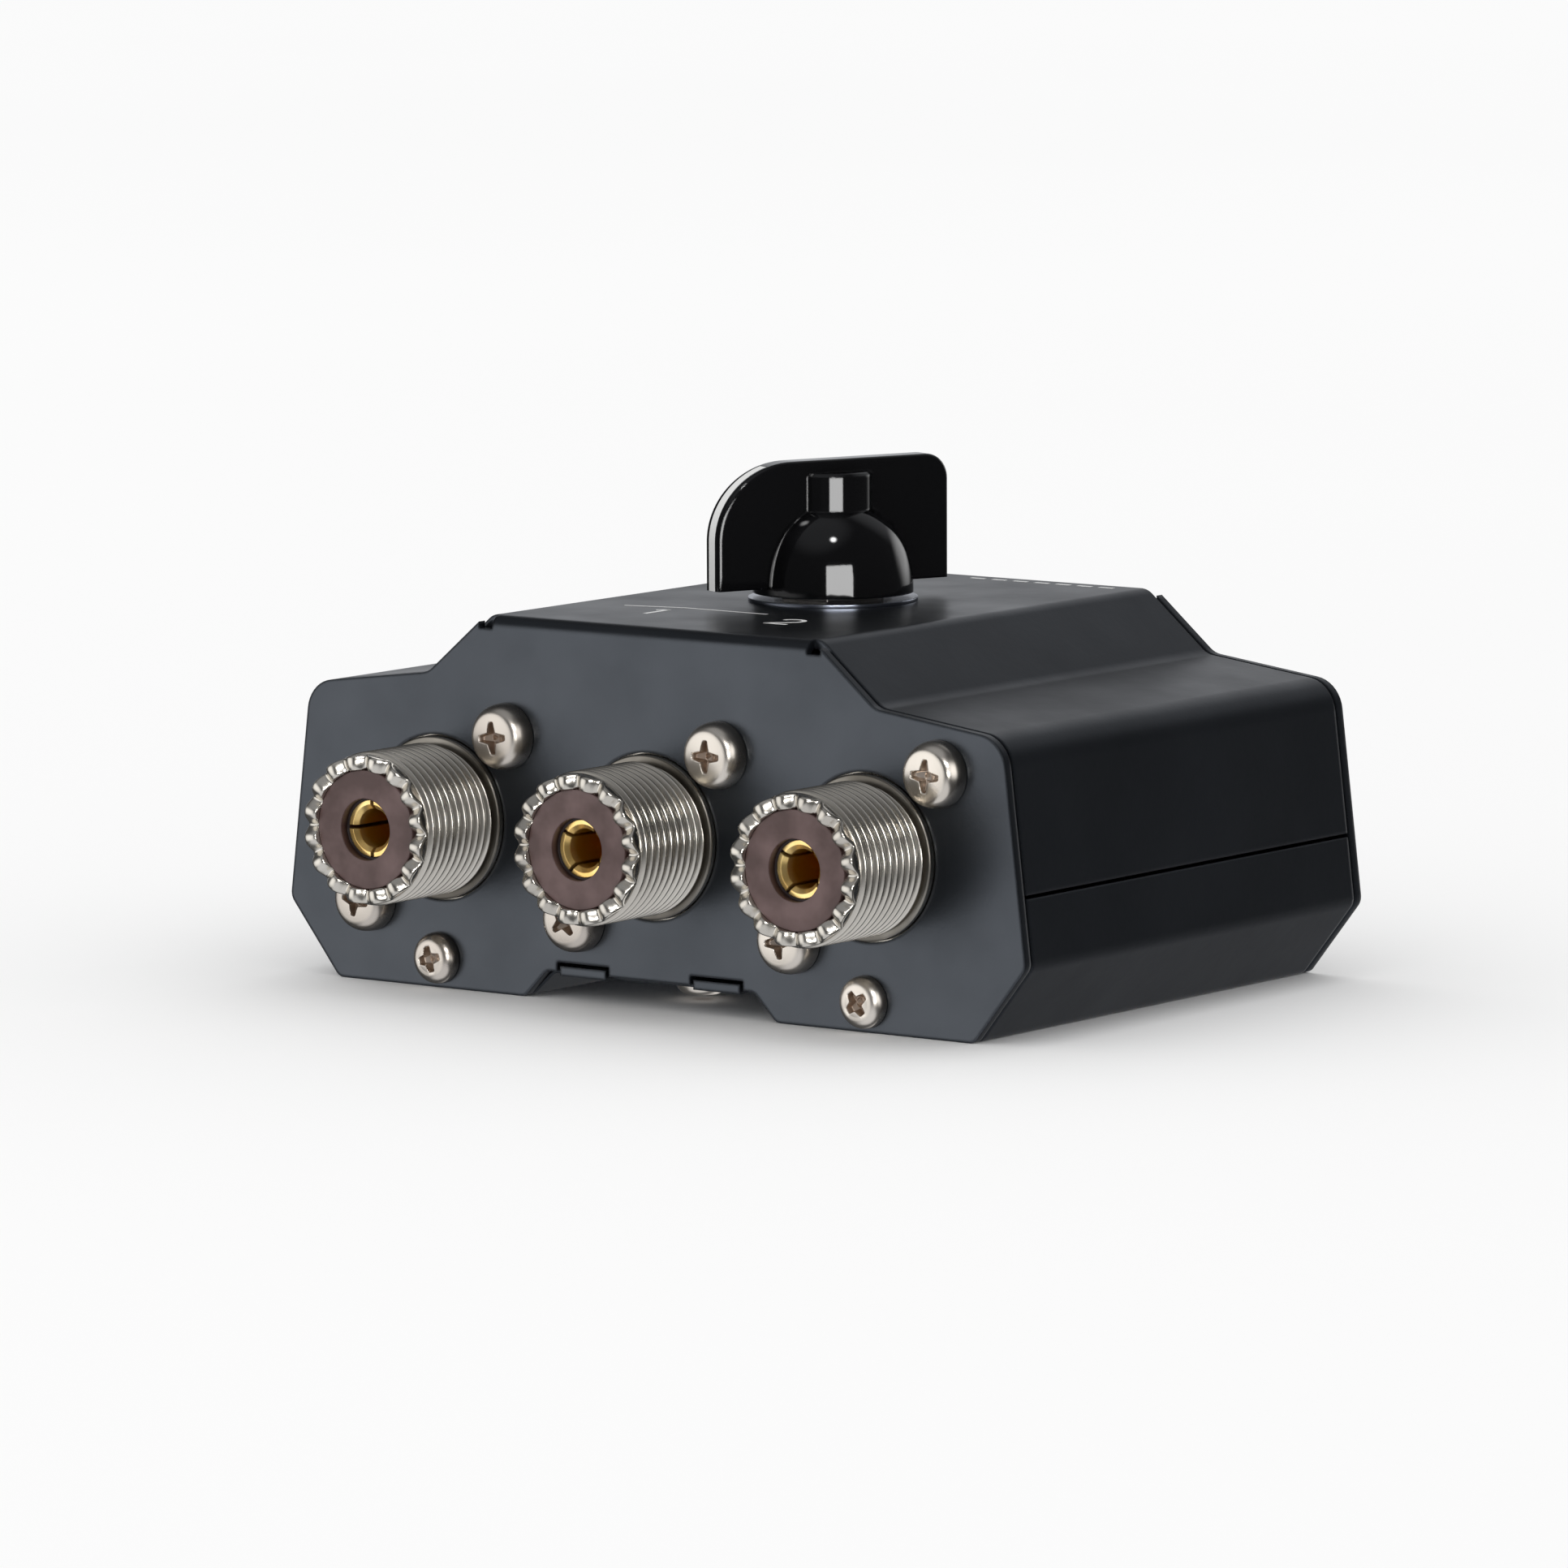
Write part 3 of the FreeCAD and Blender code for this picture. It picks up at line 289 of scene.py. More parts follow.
shells = []
for number in socketNumbers:
    node = "socket_shell_%d" % number
    low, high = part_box(node)
    centreX, centreZ = (low.x + high.x) / 2, (low.z + high.z) / 2
    name = "threaded_shell_%d" % number
    shell = addPiece(name, socketShell(name, centreX, low.y, centreZ), "case", [node])
    offset = socket["holeOffset"] * mm
    holes = [(centreX + i * offset, centreZ + k * offset) for i in (-1, 1) for k in (-1, 1)]
    back = high.y - (socket["plateThickness"] + socket["pegOver"]) * mm
    ahead = high.y + socket["pegOver"] * mm
    drill(shell, pegs("holes_%d" % number, holes, socket["flangeHole"] * mm, back, ahead))
    shells.append(shell)
print("sockets:", len(shells), "shells,", sum(len(s.data.polygons) for s in shells), "faces")


# Screws: pan heads with a cross recess

screws = dict(
    threadRadius=1.5, tipTaper=0.3, shankRound=0.35,
    recessReach=0.46, recessDeep=1.4, recessFall=0.50, armHalf=0.62, armTaper=0.24, wall=0.16,
    recessShadeDepth=0.5,                          # depth at which the painted shade in the recess is at its darkest
    crown=0.18, rimSoft=1.3, rimShare=0.8, rimPowers=(0.9, 0.95), seatEdge=0.1,
    columns=144, topRows=36, topSpread=0.85, rimRows=8, creaseAngle=42.0,
    groups=dict(
        flange_screws=dict(head=3.45, height=2.7, turns=(5, -10, 0, 40, -3, 8)),
        panel_screws=dict(head=2.7, height=1.9, shank=5.0, turns=(14, 9, 38, -12)),
        base_screws=dict(head=2.75, height=2.1, turns=(17, 71)),
    ),
)


def screwPoints(head, height, length, turn):
    # Rings round the screw's own axis, from the pole of the head to the pole of the tip. The top is
    # height - crown (r / flat)^2, less the recess. An arm of the cross is deep - fall |u| deep, times
    # a wall that drops where |v| passes its half width and an end where |u| passes the reach.
    s = screws
    theta = np.arange(s["columns"]) * tau / s["columns"]
    flat = head - s["rimSoft"]
    reach = s["recessReach"] * head
    r = np.linspace(0.0, 1.0, s["topRows"] + 1)[1:, None] ** s["topSpread"] * flat
    u, v = r * np.cos(theta - turn), r * np.sin(theta - turn)
    arms = []
    for along, across in ((np.abs(u), np.abs(v)), (np.abs(v), np.abs(u))):
        half = s["armHalf"] - s["armTaper"] * along
        side = smoothStep(-s["wall"] / 2, s["wall"] / 2, half - across)
        end = smoothStep(-s["wall"], s["wall"], reach - along)
        arms.append(side * end * (s["recessDeep"] - s["recessFall"] * along))
    recess = np.maximum(*arms)
    top = height - s["crown"] * (r / flat) ** 2 - recess
    # Rim: outwards by a power of sin a, and downwards by 1 less a power of cos a, over a quarter turn
    a = np.linspace(0.0, tau / 4, s["rimRows"] + 1)[1:, None]
    outPower, downPower = s["rimPowers"]
    rimRadius = flat + s["rimSoft"] * np.sin(a) ** outPower
    rimLevel = height - s["crown"] - s["rimShare"] * height * (1.0 - np.abs(np.cos(a)) ** downPower)
    shank = s["threadRadius"]
    radius, level = stackRuns([
        (r, top),
        (rimRadius, rimLevel),
        (head, s["seatEdge"]),
        (head - s["seatEdge"], 0.0),
        (shank + s["shankRound"], 0.0),
        (shank, 0.0),
        (shank, s["tipTaper"] - length),
        (shank - s["tipTaper"], -length),
    ], s["columns"])
    rings = np.stack([radius * np.cos(theta), radius * np.sin(theta), level], -1)
    poles = np.array([[0.0, 0.0, height - s["recessDeep"]], [0.0, 0.0, -length]])
    # Painted shade in the recess, growing with its depth, full at the head's pole and none at the tip's
    shadeMarks = np.zeros(radius.shape)
    shadeMarks[:len(recess)] = np.clip(recess / s["recessShadeDepth"], 0.0, 1.0)
    return rings, poles, np.append(shadeMarks.ravel(), [1.0, 0.0])


def screwGroup(name, seats, group):
    # seats: place, outward direction and shank length of each screw. The screw's own axis is laid
    # along outward, with side and lift at right angles to it.
    points, quads, triangles, shadeMarks = [], [], [], []
    first = 0
    for (place, outward, length), turn in zip(seats, group["turns"]):
        rings, poles, ownShade = screwPoints(group["head"], group["height"], length, math.radians(turn))
        shadeMarks.append(ownShade)
        outward = np.array(outward, float)
        lift = np.array([0.0, 0.0, 1.0]) if abs(outward[2]) < 0.5 else np.array([0.0, 1.0, 0.0])
        side = np.cross(lift, outward)
        turned = np.concatenate([rings.reshape(-1, 3), poles]) @ np.stack([side, lift, outward])
        points.append(np.array(place) + mm * turned)
        rows, columns = rings.shape[:2]
        quads.append(gridQuads(rows, columns, first=first))
        ring = first + np.arange(columns)
        triangles.append(capFan(ring, first + rows * columns)[:, ::-1])
        triangles.append(capFan(ring + (rows - 1) * columns, first + rows * columns + 1))
        first += rows * columns + 2
    mesh = putMesh(name, np.concatenate(points), np.concatenate(quads), np.concatenate(triangles),
                   screws["creaseAngle"])
    # The painted shade of the recesses goes on the mesh for the material
    mark(mesh, np.concatenate(shadeMarks))
    return mesh


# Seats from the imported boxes, which end at the heads. The shanks of the flange and base screws end at
# the other side of their boxes. The panel screws have heads on both sides, so their length is given.
flangeLow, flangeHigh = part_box("flange_screws")
flange = screws["groups"]["flange_screws"]
seatY = flangeLow.y + flange["height"] * mm
flangeSeats = []
for number in socketNumbers:
    low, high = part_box("socket_shell_%d" % number)
    for side in (1, -1):
        offset = side * socket["holeOffset"] * mm
        place = ((low.x + high.x) / 2 + offset, seatY, (low.z + high.z) / 2 + offset)
        flangeSeats.append((place, (0, -1, 0), (flangeHigh.y - seatY) / mm))

panelLow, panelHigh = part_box("panel_screws")
panel = screws["groups"]["panel_screws"]
panelZ = (panelLow.z + panelHigh.z) / 2
panelSeats = []
for x in (panelLow.x + panel["head"] * mm, panelHigh.x - panel["head"] * mm):
    for y, outward in ((panelLow.y + panel["height"] * mm, -1), (panelHigh.y - panel["height"] * mm, 1)):
        panelSeats.append(((x, y, panelZ), (0, outward, 0), panel["shank"]))

baseLow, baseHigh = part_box("base_screws")
base = screws["groups"]["base_screws"]
baseX = (baseLow.x + baseHigh.x) / 2
seatZ = baseLow.z + base["height"] * mm
baseSeats = []
for y in (baseLow.y + base["head"] * mm, baseHigh.y - base["head"] * mm):
    baseSeats.append(((baseX, y, seatZ), (0, 0, -1), (baseHigh.z - seatZ) / mm))

seats = dict(flange_screws=flangeSeats, panel_screws=panelSeats, base_screws=baseSeats)
screwPieces = []
for node, group in screws["groups"].items():
    name = node.replace("screws", "pan_screws")
    mesh = screwGroup(name, seats[node], group)
    screwPieces.append(addPiece(name, mesh, "case", [node]))
print("screws:", sum(len(places) for places in seats.values()))


# Print: a thin bent rule, two plain numbers and a row of dashes on the plateau

printed = dict(
    thickness=0.02, lineHalf=0.17, numberHalf=0.26, dashHalf=0.3,
    rule=((-14.6, -9.6), (-8.0, -7.9), (2.6, -8.0)), ruleSteps=24,
    numberHeight=4.2, numberAspect=0.66, numberX=8.4, numberY=-12.4, numberSteps=23,
    # Shapes of the numbers, in shares of their width and height: stem and flag, and bowl and foot
    one=(((0.05, -0.5), (0.05, 0.5)), ((-0.32, 0.28), (0.05, 0.5))),
    bowl=0.46, bowlTurn=(165.0, -38.0), foot=((-0.48, -0.5), (0.52, -0.5)),
    dashes=7, dashLength=1.8, dashPitch=2.75, dashFrom=(-0.5, 32.6), dashSteps=2,
)


def bentLine(corners, steps):
    # Straight runs through the corners, each in so many steps: both coordinates are interpolated
    # over the corner's number.
    corners = np.asarray(corners, float)
    t = np.linspace(0.0, len(corners) - 1.0, steps * (len(corners) - 1) + 1)
    return np.stack([np.interp(t, np.arange(len(corners)), corners[:, k]) for k in range(2)], 1)


def numeral(which, centre):
    # Strokes of a plain 1 or 2, foot towards the sockets. The 2 is an arc that touches the top of its
    # box, a leg from the arc's end to the foot, and the foot.
    height, steps = printed["numberHeight"], printed["numberSteps"]
    width = height * printed["numberAspect"]
    scale = np.array([width, height])
    if which == 1:
        runs = [bentLine(np.array(run) * scale, steps) for run in printed["one"]]
    else:
        bowl = printed["bowl"] * width
        a = np.radians(np.linspace(*printed["bowlTurn"], steps + 1))
        arc = np.stack([bowl * np.cos(a), height / 2 - bowl * (1.0 - np.sin(a))], 1)
        foot = bentLine(np.array(printed["foot"]) * scale, steps)
        leg = bentLine((arc[-1], foot[0]), steps)
        runs = [np.concatenate([arc, leg[1:]]), foot]
    return [run + np.array(centre) for run in runs]


def ribbon(path, half, level):
    # A flat strip carried along a path in the plane: each side is the path moved by half along the
    # normal of the mean direction, and the strip has a top, a bottom and closed ends.
    step = np.gradient(path, axis=0)
    step /= np.linalg.norm(step, axis=1, keepdims=True)
    normal = np.stack([-step[:, 1], step[:, 0]], 1) * half
    top = level + printed["thickness"] * mm
    count = len(path)
    rows = np.stack([np.column_stack([path + side * normal, np.full(count, z)])
                     for side, z in ((1, level), (-1, level), (-1, top), (1, top))], 1)
    ends = np.array([[0, 1, 2, 3], np.arange(3, -1, -1) + 4 * (count - 1)])
    return rows.reshape(-1, 3), np.concatenate([gridQuads(count, 4), ends])


def strokes(paths, level):
    # One ribbon for each pair of path and half width, in millimetres, as one set of points and faces
    points, quads, first = [], [], 0
    for path, half in paths:
        p, q = ribbon(path * mm, half * mm, level)
        points.append(p)
        quads.append(q + first)
        first += len(p)
    return np.concatenate(points), np.concatenate(quads)


printPaths = [(bentLine(printed["rule"], printed["ruleSteps"]), printed["lineHalf"])]
for which, side in ((1, -1), (2, 1)):
    centre = (side * printed["numberX"], printed["numberY"])
    printPaths += [(run, printed["numberHalf"]) for run in numeral(which, centre)]
dashX, dashY = printed["dashFrom"]
for x in dashX + printed["dashPitch"] * np.arange(printed["dashes"]):
    dash = bentLine(((x, dashY), (x + printed["dashLength"], dashY)), printed["dashSteps"])
    printPaths.append((dash, printed["dashHalf"]))
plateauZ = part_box("top_cover")[1].z
printMesh = putMesh("printed_marks", *strokes(printPaths, plateauZ))
printPiece = addPiece("printed_marks", printMesh, "case", [])
print("print:", len(printPaths), "strokes")


# Materials

def feed(tree, target, value):
    # A socket is linked and anything else is set. A colour is given without its alpha, which is 1.
    if isinstance(value, bpy.types.NodeSocket):
        tree.links.new(value, target)
    elif target.type == "RGBA":
        target.default_value = tuple(value) + (1.0,)
    else:
        target.default_value = value


def addNode(tree, kind, inputs=None, **settings):
    # A node with its settings, and with its inputs linked or set by name or number
    node = tree.nodes.new(kind)
    for key, value in settings.items():
        setattr(node, key, value)
    for key, value in (inputs or {}).items():
        feed(tree, node.inputs[key], value)
    return node


def noise(tree, scale, detail, stretch=(1, 1, 1)):
    # Cloudy noise of the piece's own coordinates, each times its stretch
    coords = addNode(tree, "ShaderNodeTexCoord")
    mapping = addNode(tree, "ShaderNodeMapping", {"Vector": coords.outputs["Object"], "Scale": stretch})
    inputs = {"Vector": mapping.outputs["Vector"], "Scale": scale, "Detail": detail}
    return addNode(tree, "ShaderNodeTexNoise", inputs).outputs["Fac"]


def remap(tree, value, span, result=(0.0, 1.0), curve="LINEAR"):
    # Takes the span to the result, straight or by a smooth step, and holds at both ends
    inputs = {"Value": value, "From Min": span[0], "From Max": span[1],
              "To Min": result[0], "To Max": result[1]}
    return addNode(tree, "ShaderNodeMapRange", inputs, interpolation_type=curve).outputs["Result"]


def maths(tree, operation, first, second):
    # One sum or product of two numbers
    return addNode(tree, "ShaderNodeMath", {0: first, 1: second}, operation=operation).outputs["Value"]


def measure(tree, operation, first, second):
    # One number from two vectors, such as their dot product or their distance
    node = addNode(tree, "ShaderNodeVectorMath", {0: first, 1: second}, operation=operation)
    return node.outputs["Value"]


def mixColour(tree, factor, first, second):
    # first + factor (second - first). Sockets 6 and 7 are the node's pair of colours, and output 2
    # is the mixed one.
    node = addNode(tree, "ShaderNodeMix", data_type="RGBA")
    for index, value in ((0, factor), (6, first), (7, second)):
        feed(tree, node.inputs[index], value)
    return node.outputs[2]


def bump(tree, height, distance, normal):
    # Relief of distance metres on top of the normal, if there is one
    inputs = {"Strength": 1.0, "Distance": distance, "Height": height}
    if normal is not None:
        inputs["Normal"] = normal
    return addNode(tree, "ShaderNodeBump", inputs).outputs["Normal"]


def softEdge(tree, radius):
    # A small round on every cut edge, as a normal only
    return addNode(tree, "ShaderNodeBevel", {"Radius": radius}, samples=6).outputs["Normal"]


def edgeMask(tree, normal, span):
    # 0 on flat faces, rising to 1 where the rounded normal leaves the face's own: the dot product of
    # the two falls from the span's first value to its second.
    own = addNode(tree, "ShaderNodeNewGeometry").outputs["Normal"]
    return remap(tree, measure(tree, "DOT_PRODUCT", own, normal), span)


# What a finish has where its recipe doesn't say otherwise. Scales are per metre, relief and edges are
# in metres, and each span is the part of its noise that is used.
finishBase = dict(
    metallic=0.0, specular=0.5, sheen=(1.0, 1.0, 1.0), stretch=(1, 1, 1),
    cloud=45.0, cloudSpan=(0.35, 0.65), roughCloud=120.0, roughSpan=(0.3, 0.7), detail=3.0,
    coarse=0.0, coarseScale=800.0, coarseDetail=2.0, fine=0.0, fineScale=3000.0,
    edge=0.00015, edgeSpan=(0.995, 0.85),
    wear=0.0, wearColour=(0.5, 0.5, 0.5), chipScale=1400.0, chipDetail=4.0, chipSpan=(0.44, 0.62),
    # The colour of painted shade for marked hollows, how strong it is over the roughness noise, and the
    # roughness it adds; then the painted shade inside a socket, darker along Y
    valley=None, shadeAmount=(0.55, 1.0), shadeRough=0.12,
    depth=None,
)


def makeFinish(name, recipe):
    # Two colours mixed by cloudy noise, and a roughness between two limits by a second noise. Then
    # soft cut edges that may be worn, painted shade in the marked hollows, a painted darker inside, and
    # relief at two scales. What is the same all over the surface is set on the shader.
    r = {**finishBase, **recipe}
    material = bpy.data.materials.new(name)
    material.use_nodes = True
    tree = material.node_tree
    tree.nodes.clear()
    cloud = remap(tree, noise(tree, r["cloud"], r["detail"], r["stretch"]), r["cloudSpan"])
    colour = mixColour(tree, cloud, r["dark"], r["light"])
    patch = noise(tree, r["roughCloud"], r["detail"], r["stretch"])
    roughness = remap(tree, patch, r["roughSpan"], r["roughness"])
    normal = softEdge(tree, r["edge"]) if r["edge"] else None
    if r["wear"] and r["edge"]:
        chips = remap(tree, noise(tree, r["chipScale"], r["chipDetail"]), r["chipSpan"])
        worn = maths(tree, "MULTIPLY", edgeMask(tree, normal, r["edgeSpan"]), chips)
        colour = mixColour(tree, maths(tree, "MULTIPLY", worn, r["wear"]), colour, r["wearColour"])
    # Painted shade: the marked hollows and corners are darkened towards the shade colour, by an amount that
    # varies with the roughness noise, and made a little rougher
    if r["valley"]:
        valley = addNode(tree, "ShaderNodeAttribute", attribute_name="valley").outputs["Fac"]
        shadeAmount = maths(tree, "MULTIPLY", valley, remap(tree, patch, r["roughSpan"], r["shadeAmount"]))
        colour = mixColour(tree, shadeAmount, colour, r["valley"])
        roughness = maths(tree, "ADD", roughness, maths(tree, "MULTIPLY", shadeAmount, r["shadeRough"]))
    if r["depth"]:
        # Painted shade inside: places along Y where the darkening starts and ends, and the shaded inner
        # colour
        start, end, inner = r["depth"]
        coords = addNode(tree, "ShaderNodeTexCoord")
        split = addNode(tree, "ShaderNodeSeparateXYZ", {0: coords.outputs["Object"]})
        colour = mixColour(tree, remap(tree, split.outputs["Y"], (start, end)), colour, inner)
    if r["coarse"]:
        relief = noise(tree, r["coarseScale"], r["coarseDetail"], r["stretch"])
        normal = bump(tree, relief, r["coarse"], normal)
    if r["fine"]:
        relief = noise(tree, r["fineScale"], r["detail"], r["stretch"])
        normal = bump(tree, relief, r["fine"], normal)
    inputs = {"Base Color": colour, "Roughness": roughness, "Metallic": r["metallic"],
              "Specular IOR Level": r["specular"], "Specular Tint": r["sheen"]}
    if normal is not None:
        inputs["Normal"] = normal
    shader = addNode(tree, "ShaderNodeBsdfPrincipled", inputs)
    addNode(tree, "ShaderNodeOutputMaterial", {"Surface": shader.outputs["BSDF"]})
    return material


finishes = dict(
    case_paint=dict(dark=(0.0055, 0.0064, 0.0080), light=(0.0080, 0.0092, 0.0115), roughness=(0.31, 0.38),
                    coarse=0.000010, coarseScale=900.0, fine=0.000004, fineScale=3600.0, specular=0.58,
                    sheen=(0.80, 0.88, 1.0), edge=0.0005, wear=0.03, wearColour=(0.10, 0.10, 0.105)),
    # The dark colour for marked hollows is painted shade in the thread's roots and on the collar's front
    # face
    nickel=dict(dark=(0.60, 0.56, 0.50), light=(0.75, 0.71, 0.64), metallic=1.0, roughness=(0.19, 0.30),
                coarse=0.000004, coarseScale=1500.0, fine=0.0000012, fineScale=9000.0, edge=0.00008,
                valley=(0.085, 0.075, 0.06)),
    # The colour for marked hollows is painted shade in the screws' recesses
    zinc_steel=dict(dark=(0.60, 0.54, 0.48), light=(0.84, 0.78, 0.70), metallic=1.0, roughness=(0.22, 0.34),
                    coarse=0.000004, coarseScale=1200.0, fine=0.000001, fineScale=8000.0, edge=0.00008,
                    valley=(0.40, 0.30, 0.23)),
    # The depth entry paints shade on the core further into the socket
    core_brown=dict(dark=(0.070, 0.034, 0.030), light=(0.140, 0.084, 0.080), roughness=(0.34, 0.46),
                    cloud=240.0, coarse=0.000006, coarseScale=900.0, fine=0.000003, fineScale=6000.0,
                    edge=0.0002, depth=(-0.0369, -0.0361, (0.020, 0.006, 0.005))),
    # The depth entry paints shade, a darker deeper gold, further into the contact's bore
    contact_gold=dict(dark=(0.80, 0.50, 0.15), light=(0.92, 0.68, 0.28), metallic=0.75,
                      roughness=(0.16, 0.26), cloud=300.0, fine=0.0000015, fineScale=7000.0, edge=0.00012,
                      depth=(-0.0357, -0.0342, (0.58, 0.28, 0.015))),
    knob_black=dict(dark=(0.0028, 0.0028, 0.0032), light=(0.0042, 0.0042, 0.0048), roughness=(0.045, 0.075),
                    coarse=0.000004, coarseScale=120.0, edge=0.0003),
    pointer_white=dict(dark=(0.70, 0.70, 0.69), light=(0.82, 0.82, 0.81), roughness=(0.35, 0.5),
                       coarse=0.000006, coarseScale=1500.0, edge=0.00006),
    board_brown=dict(dark=(0.20, 0.11, 0.05), light=(0.30, 0.18, 0.09), roughness=(0.4, 0.55),
                     stretch=(1, 6, 1), cloud=260.0, coarse=0.00001, coarseScale=1300.0),
    silvered=dict(dark=(0.72, 0.70, 0.66), light=(0.86, 0.85, 0.82), metallic=1.0, roughness=(0.16, 0.28),
                  coarse=0.000003, coarseScale=1400.0),
    spring_steel=dict(dark=(0.38, 0.38, 0.40), light=(0.52, 0.52, 0.54), metallic=1.0,
                      roughness=(0.22, 0.36), stretch=(1, 8, 1), fine=0.000002),
    ring_bright=dict(dark=(0.22, 0.24, 0.29), light=(0.34, 0.36, 0.42), metallic=1.0, roughness=(0.16, 0.26),
                     fine=0.000001, fineScale=6000.0, edge=0.0002),
)
materials = {name: makeFinish(name, recipe) for name, recipe in finishes.items()}

nodeFinish = dict(
    case_paint=("top_cover", "bottom_cover"),
    nickel=("shaft_bushing", "bushing_nut"),
    zinc_steel=("flange_nuts", "base_nuts", "deck_posts", "wafer_screws", "shaft", "shaft_clip",
                "switch_deck", "stop_pin", "spring_rivet", "knob_grub_screw"),
    core_brown=("socket_core_1", "socket_core_2", "socket_core_3"),
    contact_gold=("socket_contact_1", "socket_contact_2", "socket_contact_3"),
    knob_black=("knob",),
    pointer_white=("pointer_line",),
    board_brown=("wafer", "rotor_hub"),
    silvered=("rotor_contact", "throw_finger_1", "throw_finger_2", "common_finger", "contact_rivets",
              "link_1", "link_2", "common_link"),
    spring_steel=("detent_spring", "detent_wheel"),
    ring_bright=("dial_ring",),
)


def dress(piece, material):
    # One finish over the whole piece
    piece.data.materials.clear()
    piece.data.materials.append(material)


for finishName, names in nodeFinish.items():
    for name in names:
        dress(nodes[name], materials[finishName])
for shell in shells:
    dress(shell, materials["nickel"])
for piece in screwPieces:
    dress(piece, materials["zinc_steel"])
dress(printPiece, materials["pointer_white"])
replaced = ["socket_shell_%d" % n for n in socketNumbers] + list(screws["groups"])
plain = sorted(set(nodes) - set(replaced) - {n for names in nodeFinish.values() for n in names})
print("materials:", len(materials), "finishes, nodes without one:", plain)


# Floor, world, lights and camera

floorLook = dict(
    size=9.0, drop=0.00004,                   # metres, and how far below the feet
    finish=dict(light=(0.97, 0.97, 0.97), dark=(0.955, 0.955, 0.955), roughness=(0.6, 0.75), cloud=1.3,
                roughCloud=20.0, edge=0.0, specular=0.0),
)


def makeFloor():
    # One square under the feet. Shiny surfaces don't see it: the patches round the part stand for it.
    half = floorLook["size"] / 2
    z = -floorLook["drop"]
    corners = [(-half, -half, z), (half, -half, z), (half, half, z), (-half, half, z)]
    mesh = bpy.data.meshes.new("floor")
    mesh.from_pydata(corners, [], [(0, 1, 2, 3)])
    floor = bpy.data.objects.new("floor", mesh)
    bpy.context.scene.collection.objects.link(floor)
    dress(floor, makeFinish("floor_paper", floorLook["finish"]))
    floor.visible_glossy = False


def direction(azimuth, elevation):
    # (sin a cos e, -cos a cos e, sin e): azimuth 0 is on the side of -Y, and grows towards +X
    a, e = math.radians(azimuth), math.radians(elevation)
    return (math.sin(a) * math.cos(e), -math.cos(a) * math.cos(e), math.sin(e))


def lookFrom(thing, away, roll=0.0):
    # Turns a light or camera so that its back points away: side is up x away, lift is away x side, and
    # both are turned by roll in their own plane.
    side = np.cross([0.0, 0.0, 1.0], away)
    side /= np.linalg.norm(side)
    lift = np.cross(away, side)
    c, s = math.cos(roll), math.sin(roll)
    axes = np.stack([side * c + lift * s, lift * c - side * s, away], 1)
    thing.rotation_mode = "QUATERNION"
    thing.rotation_quaternion = Matrix(axes.tolist()).to_quaternion()


# What shiny surfaces see round the part: soft patches, each with azimuth, elevation, inner and outer
# spread in degrees, and strength
surround = dict(
    flood=1.0, base=0.058, tint=(0.97, 0.99, 1.03),
    patches=(
        (220, 9, 8, 27, 0.60),      # behind on the left, on the plateau and the shoulders
        (180, 40, 10, 32, 0.27),    # behind and above, on the slopes
        (198, 32, 4, 13, 0.28),     # between them, in the folds at the foot of the slopes
        (179, -42, 12, 36, 0.15),   # behind and below, on the chamfers
        (12, -50, 30, 46, 0.66),    # the table in front, on the lower half of the barrels
        (-10, 70, 16, 42, 0.24),    # above
    ),
)


def makeWorld():
    # Glossy rays see the base plus the patches, and all other rays an even flood. A patch is a smooth
    # step of the cosine of the angle to its middle.
    world = bpy.data.worlds.new("studio")
    bpy.context.scene.world = world
    world.use_nodes = True
    world.cycles.sampling_method = "NONE"
    tree = world.node_tree
    tree.nodes.clear()
    ray = addNode(tree, "ShaderNodeTexCoord").outputs["Generated"]
    total = None
    for azimuth, elevation, inner, outer, strength in surround["patches"]:
        cosine = measure(tree, "DOT_PRODUCT", ray, direction(azimuth, elevation))
        span = (math.cos(math.radians(outer)), math.cos(math.radians(inner)))
        patch = remap(tree, cosine, span, (0.0, strength), "SMOOTHSTEP")
        total = patch if total is None else maths(tree, "ADD", total, patch)
    total = maths(tree, "ADD", total, surround["base"])
    shiny = addNode(tree, "ShaderNodeBackground", {"Color": surround["tint"], "Strength": total})
    flood = addNode(tree, "ShaderNodeBackground", {"Color": (1.0, 1.0, 1.0), "Strength": surround["flood"]})
    glossy = addNode(tree, "ShaderNodeLightPath").outputs["Is Glossy Ray"]
    mix = addNode(tree, "ShaderNodeMixShader", {0: glossy, 1: flood.outputs[0], 2: shiny.outputs[0]})
    addNode(tree, "ShaderNodeOutputWorld", {"Surface": mix.outputs[0]})


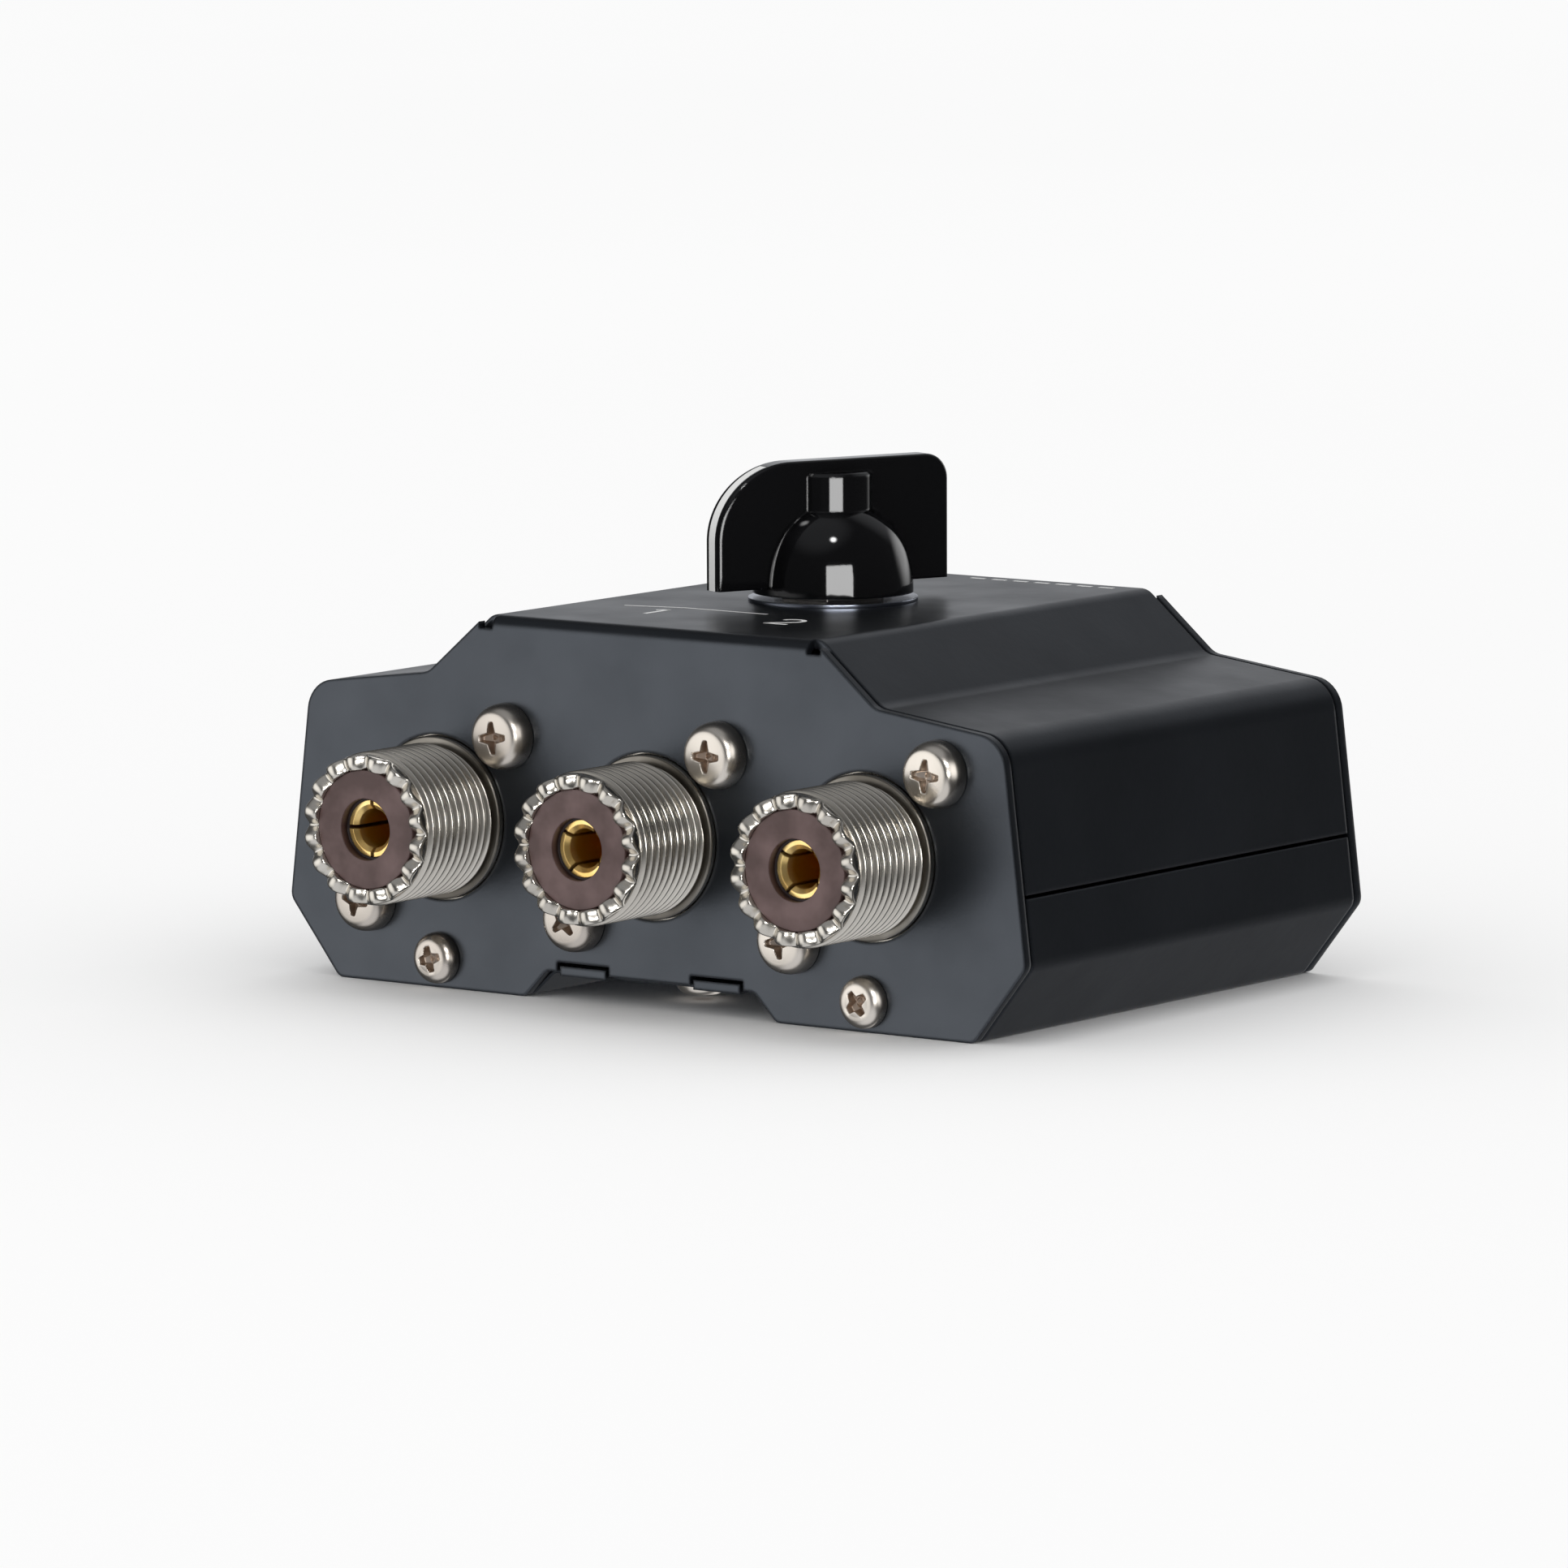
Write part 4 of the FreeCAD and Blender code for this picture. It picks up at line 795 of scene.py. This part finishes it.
# Cards that only shiny surfaces see, each lighting only the pieces named under its "on". at is
# azimuth, elevation and distance, and a soft card fades towards its rim.
cards = dict(
    window=dict(at=(46.0, 6.0, 1.0), size=(0.70, 0.60), radiance=11.0, soft=False, on="knob"),
    spot=dict(at=(37.5, 58.5, 1.0), size=(0.20, 0.20), radiance=30.0, soft=True, on="knob"),
    rim=dict(at=(168.0, 9.0, 1.0), size=(0.95, 0.75), radiance=1.6, soft=True, on="knob"),
    panel=dict(at=(-36.0, -2.0, 4.0), size=(6.6, 5.4), radiance=2.6, soft=True, on="case"),
    rear=dict(at=(186.0, -12.0, 2.0), size=(3.0, 1.3), radiance=1.2, soft=True, on="case"),
    face=dict(at=(-38.0, 2.0, 2.0), size=(4.2, 3.4), radiance=1.15, soft=True, on="metal"),
    glintHigh=dict(at=(45.0, 30.0, 1.0), size=(0.34, 0.12), radiance=19.0, soft=False, on="metal"),
    glintLow=dict(at=(45.0, 4.0, 1.0), size=(0.34, 0.09), radiance=19.0, soft=False, on="metal"),
    behind=dict(at=(205.0, 28.0, 1.0), size=(0.9, 0.7), radiance=1.9, soft=True, on="metal"),
    underside=dict(at=(170.0, -40.0, 1.0), size=(1.7, 1.1), radiance=1.0, soft=True, on="metal"),
    screwSide=dict(at=(88.0, 14.0, 1.0), size=(1.6, 1.2), radiance=1.3, soft=True, on="screw"),
    mouth=dict(at=(-30.0, -2.0, 1.0), size=(1.6, 1.2), radiance=1.9, soft=True, on="contact"),
)
cardReceivers = dict(
    knob=["knob", "pointer_line", "dial_ring"],
    case=["top_cover", "bottom_cover", "printed_marks"],
    metal=[piece.name for piece in shells + screwPieces] + ["socket_core_%d" % n for n in socketNumbers],
    screw=[piece.name for piece in screwPieces],
    contact=["socket_contact_%d" % n for n in socketNumbers],
)
cardAim = (0.0, 0.007, 0.045)   # the point that all cards face, in the knob
cardFade = (0.5, 0.12)          # where a soft card is dark and where it is full, in shares of its side


def fade(light):
    # Strength falls from the middle of the card to its rim: a smooth step of the distance of the
    # card's own coordinates from (1/2, 1/2).
    light.use_nodes = True
    tree = light.node_tree
    tree.nodes.clear()
    place = addNode(tree, "ShaderNodeNewGeometry").outputs["Parametric"]
    away = measure(tree, "DISTANCE", place, (0.5, 0.5, 0.0))
    strength = remap(tree, away, cardFade, curve="SMOOTHSTEP")
    emission = addNode(tree, "ShaderNodeEmission", {"Strength": strength})
    addNode(tree, "ShaderNodeOutputLight", {"Surface": emission.outputs[0]})


def makeCard(name, card, receivers):
    # An area light whose power is radiance times pi times its area
    light = bpy.data.lights.new(name, "AREA")
    light.shape = "RECTANGLE"
    light.size, light.size_y = card["size"]
    light.energy = card["radiance"] * math.pi * light.size * light.size_y
    if card["soft"]:
        fade(light)
    holder = bpy.data.objects.new(name, light)
    bpy.context.scene.collection.objects.link(holder)
    azimuth, elevation, distance = card["at"]
    away = np.array(direction(azimuth, elevation))
    holder.location = np.array(cardAim) + away * distance
    lookFrom(holder, away)
    holder.visible_camera = False
    holder.visible_diffuse = False
    holder.light_linking.receiver_collection = receivers


view = dict(azimuth=36.402, elevation=7.248, distance=1.1041, roll=-0.193, lens=242.7, sensor=36.0,
            clip=(0.05, 30.0), target=(-0.00495, 0.00505, 0.01971))


def makeCamera():
    # The place is the target plus distance times the direction of the view
    data = bpy.data.cameras.new("camera")
    data.lens = view["lens"]
    data.sensor_width = view["sensor"]
    data.sensor_fit = "HORIZONTAL"
    data.clip_start, data.clip_end = view["clip"]
    camera = bpy.data.objects.new("camera", data)
    bpy.context.scene.collection.objects.link(camera)
    away = np.array(direction(view["azimuth"], view["elevation"]))
    camera.location = np.array(view["target"]) + away * view["distance"]
    lookFrom(camera, away, math.radians(view["roll"]))
    bpy.context.scene.camera = camera


makeFloor()
makeWorld()
receiverSets = {}
for key, names in cardReceivers.items():
    receiverSets[key] = bpy.data.collections.new(key + "_receivers")
    for name in names:
        receiverSets[key].objects.link(bpy.data.objects[name])
for name, card in cards.items():
    makeCard(name, card, receiverSets[card["on"]])
makeCamera()
bpy.context.scene.view_settings.view_transform = "Standard"
bpy.context.scene.view_settings.look = "None"
print("stage: floor,", len(cards), "cards and the camera")
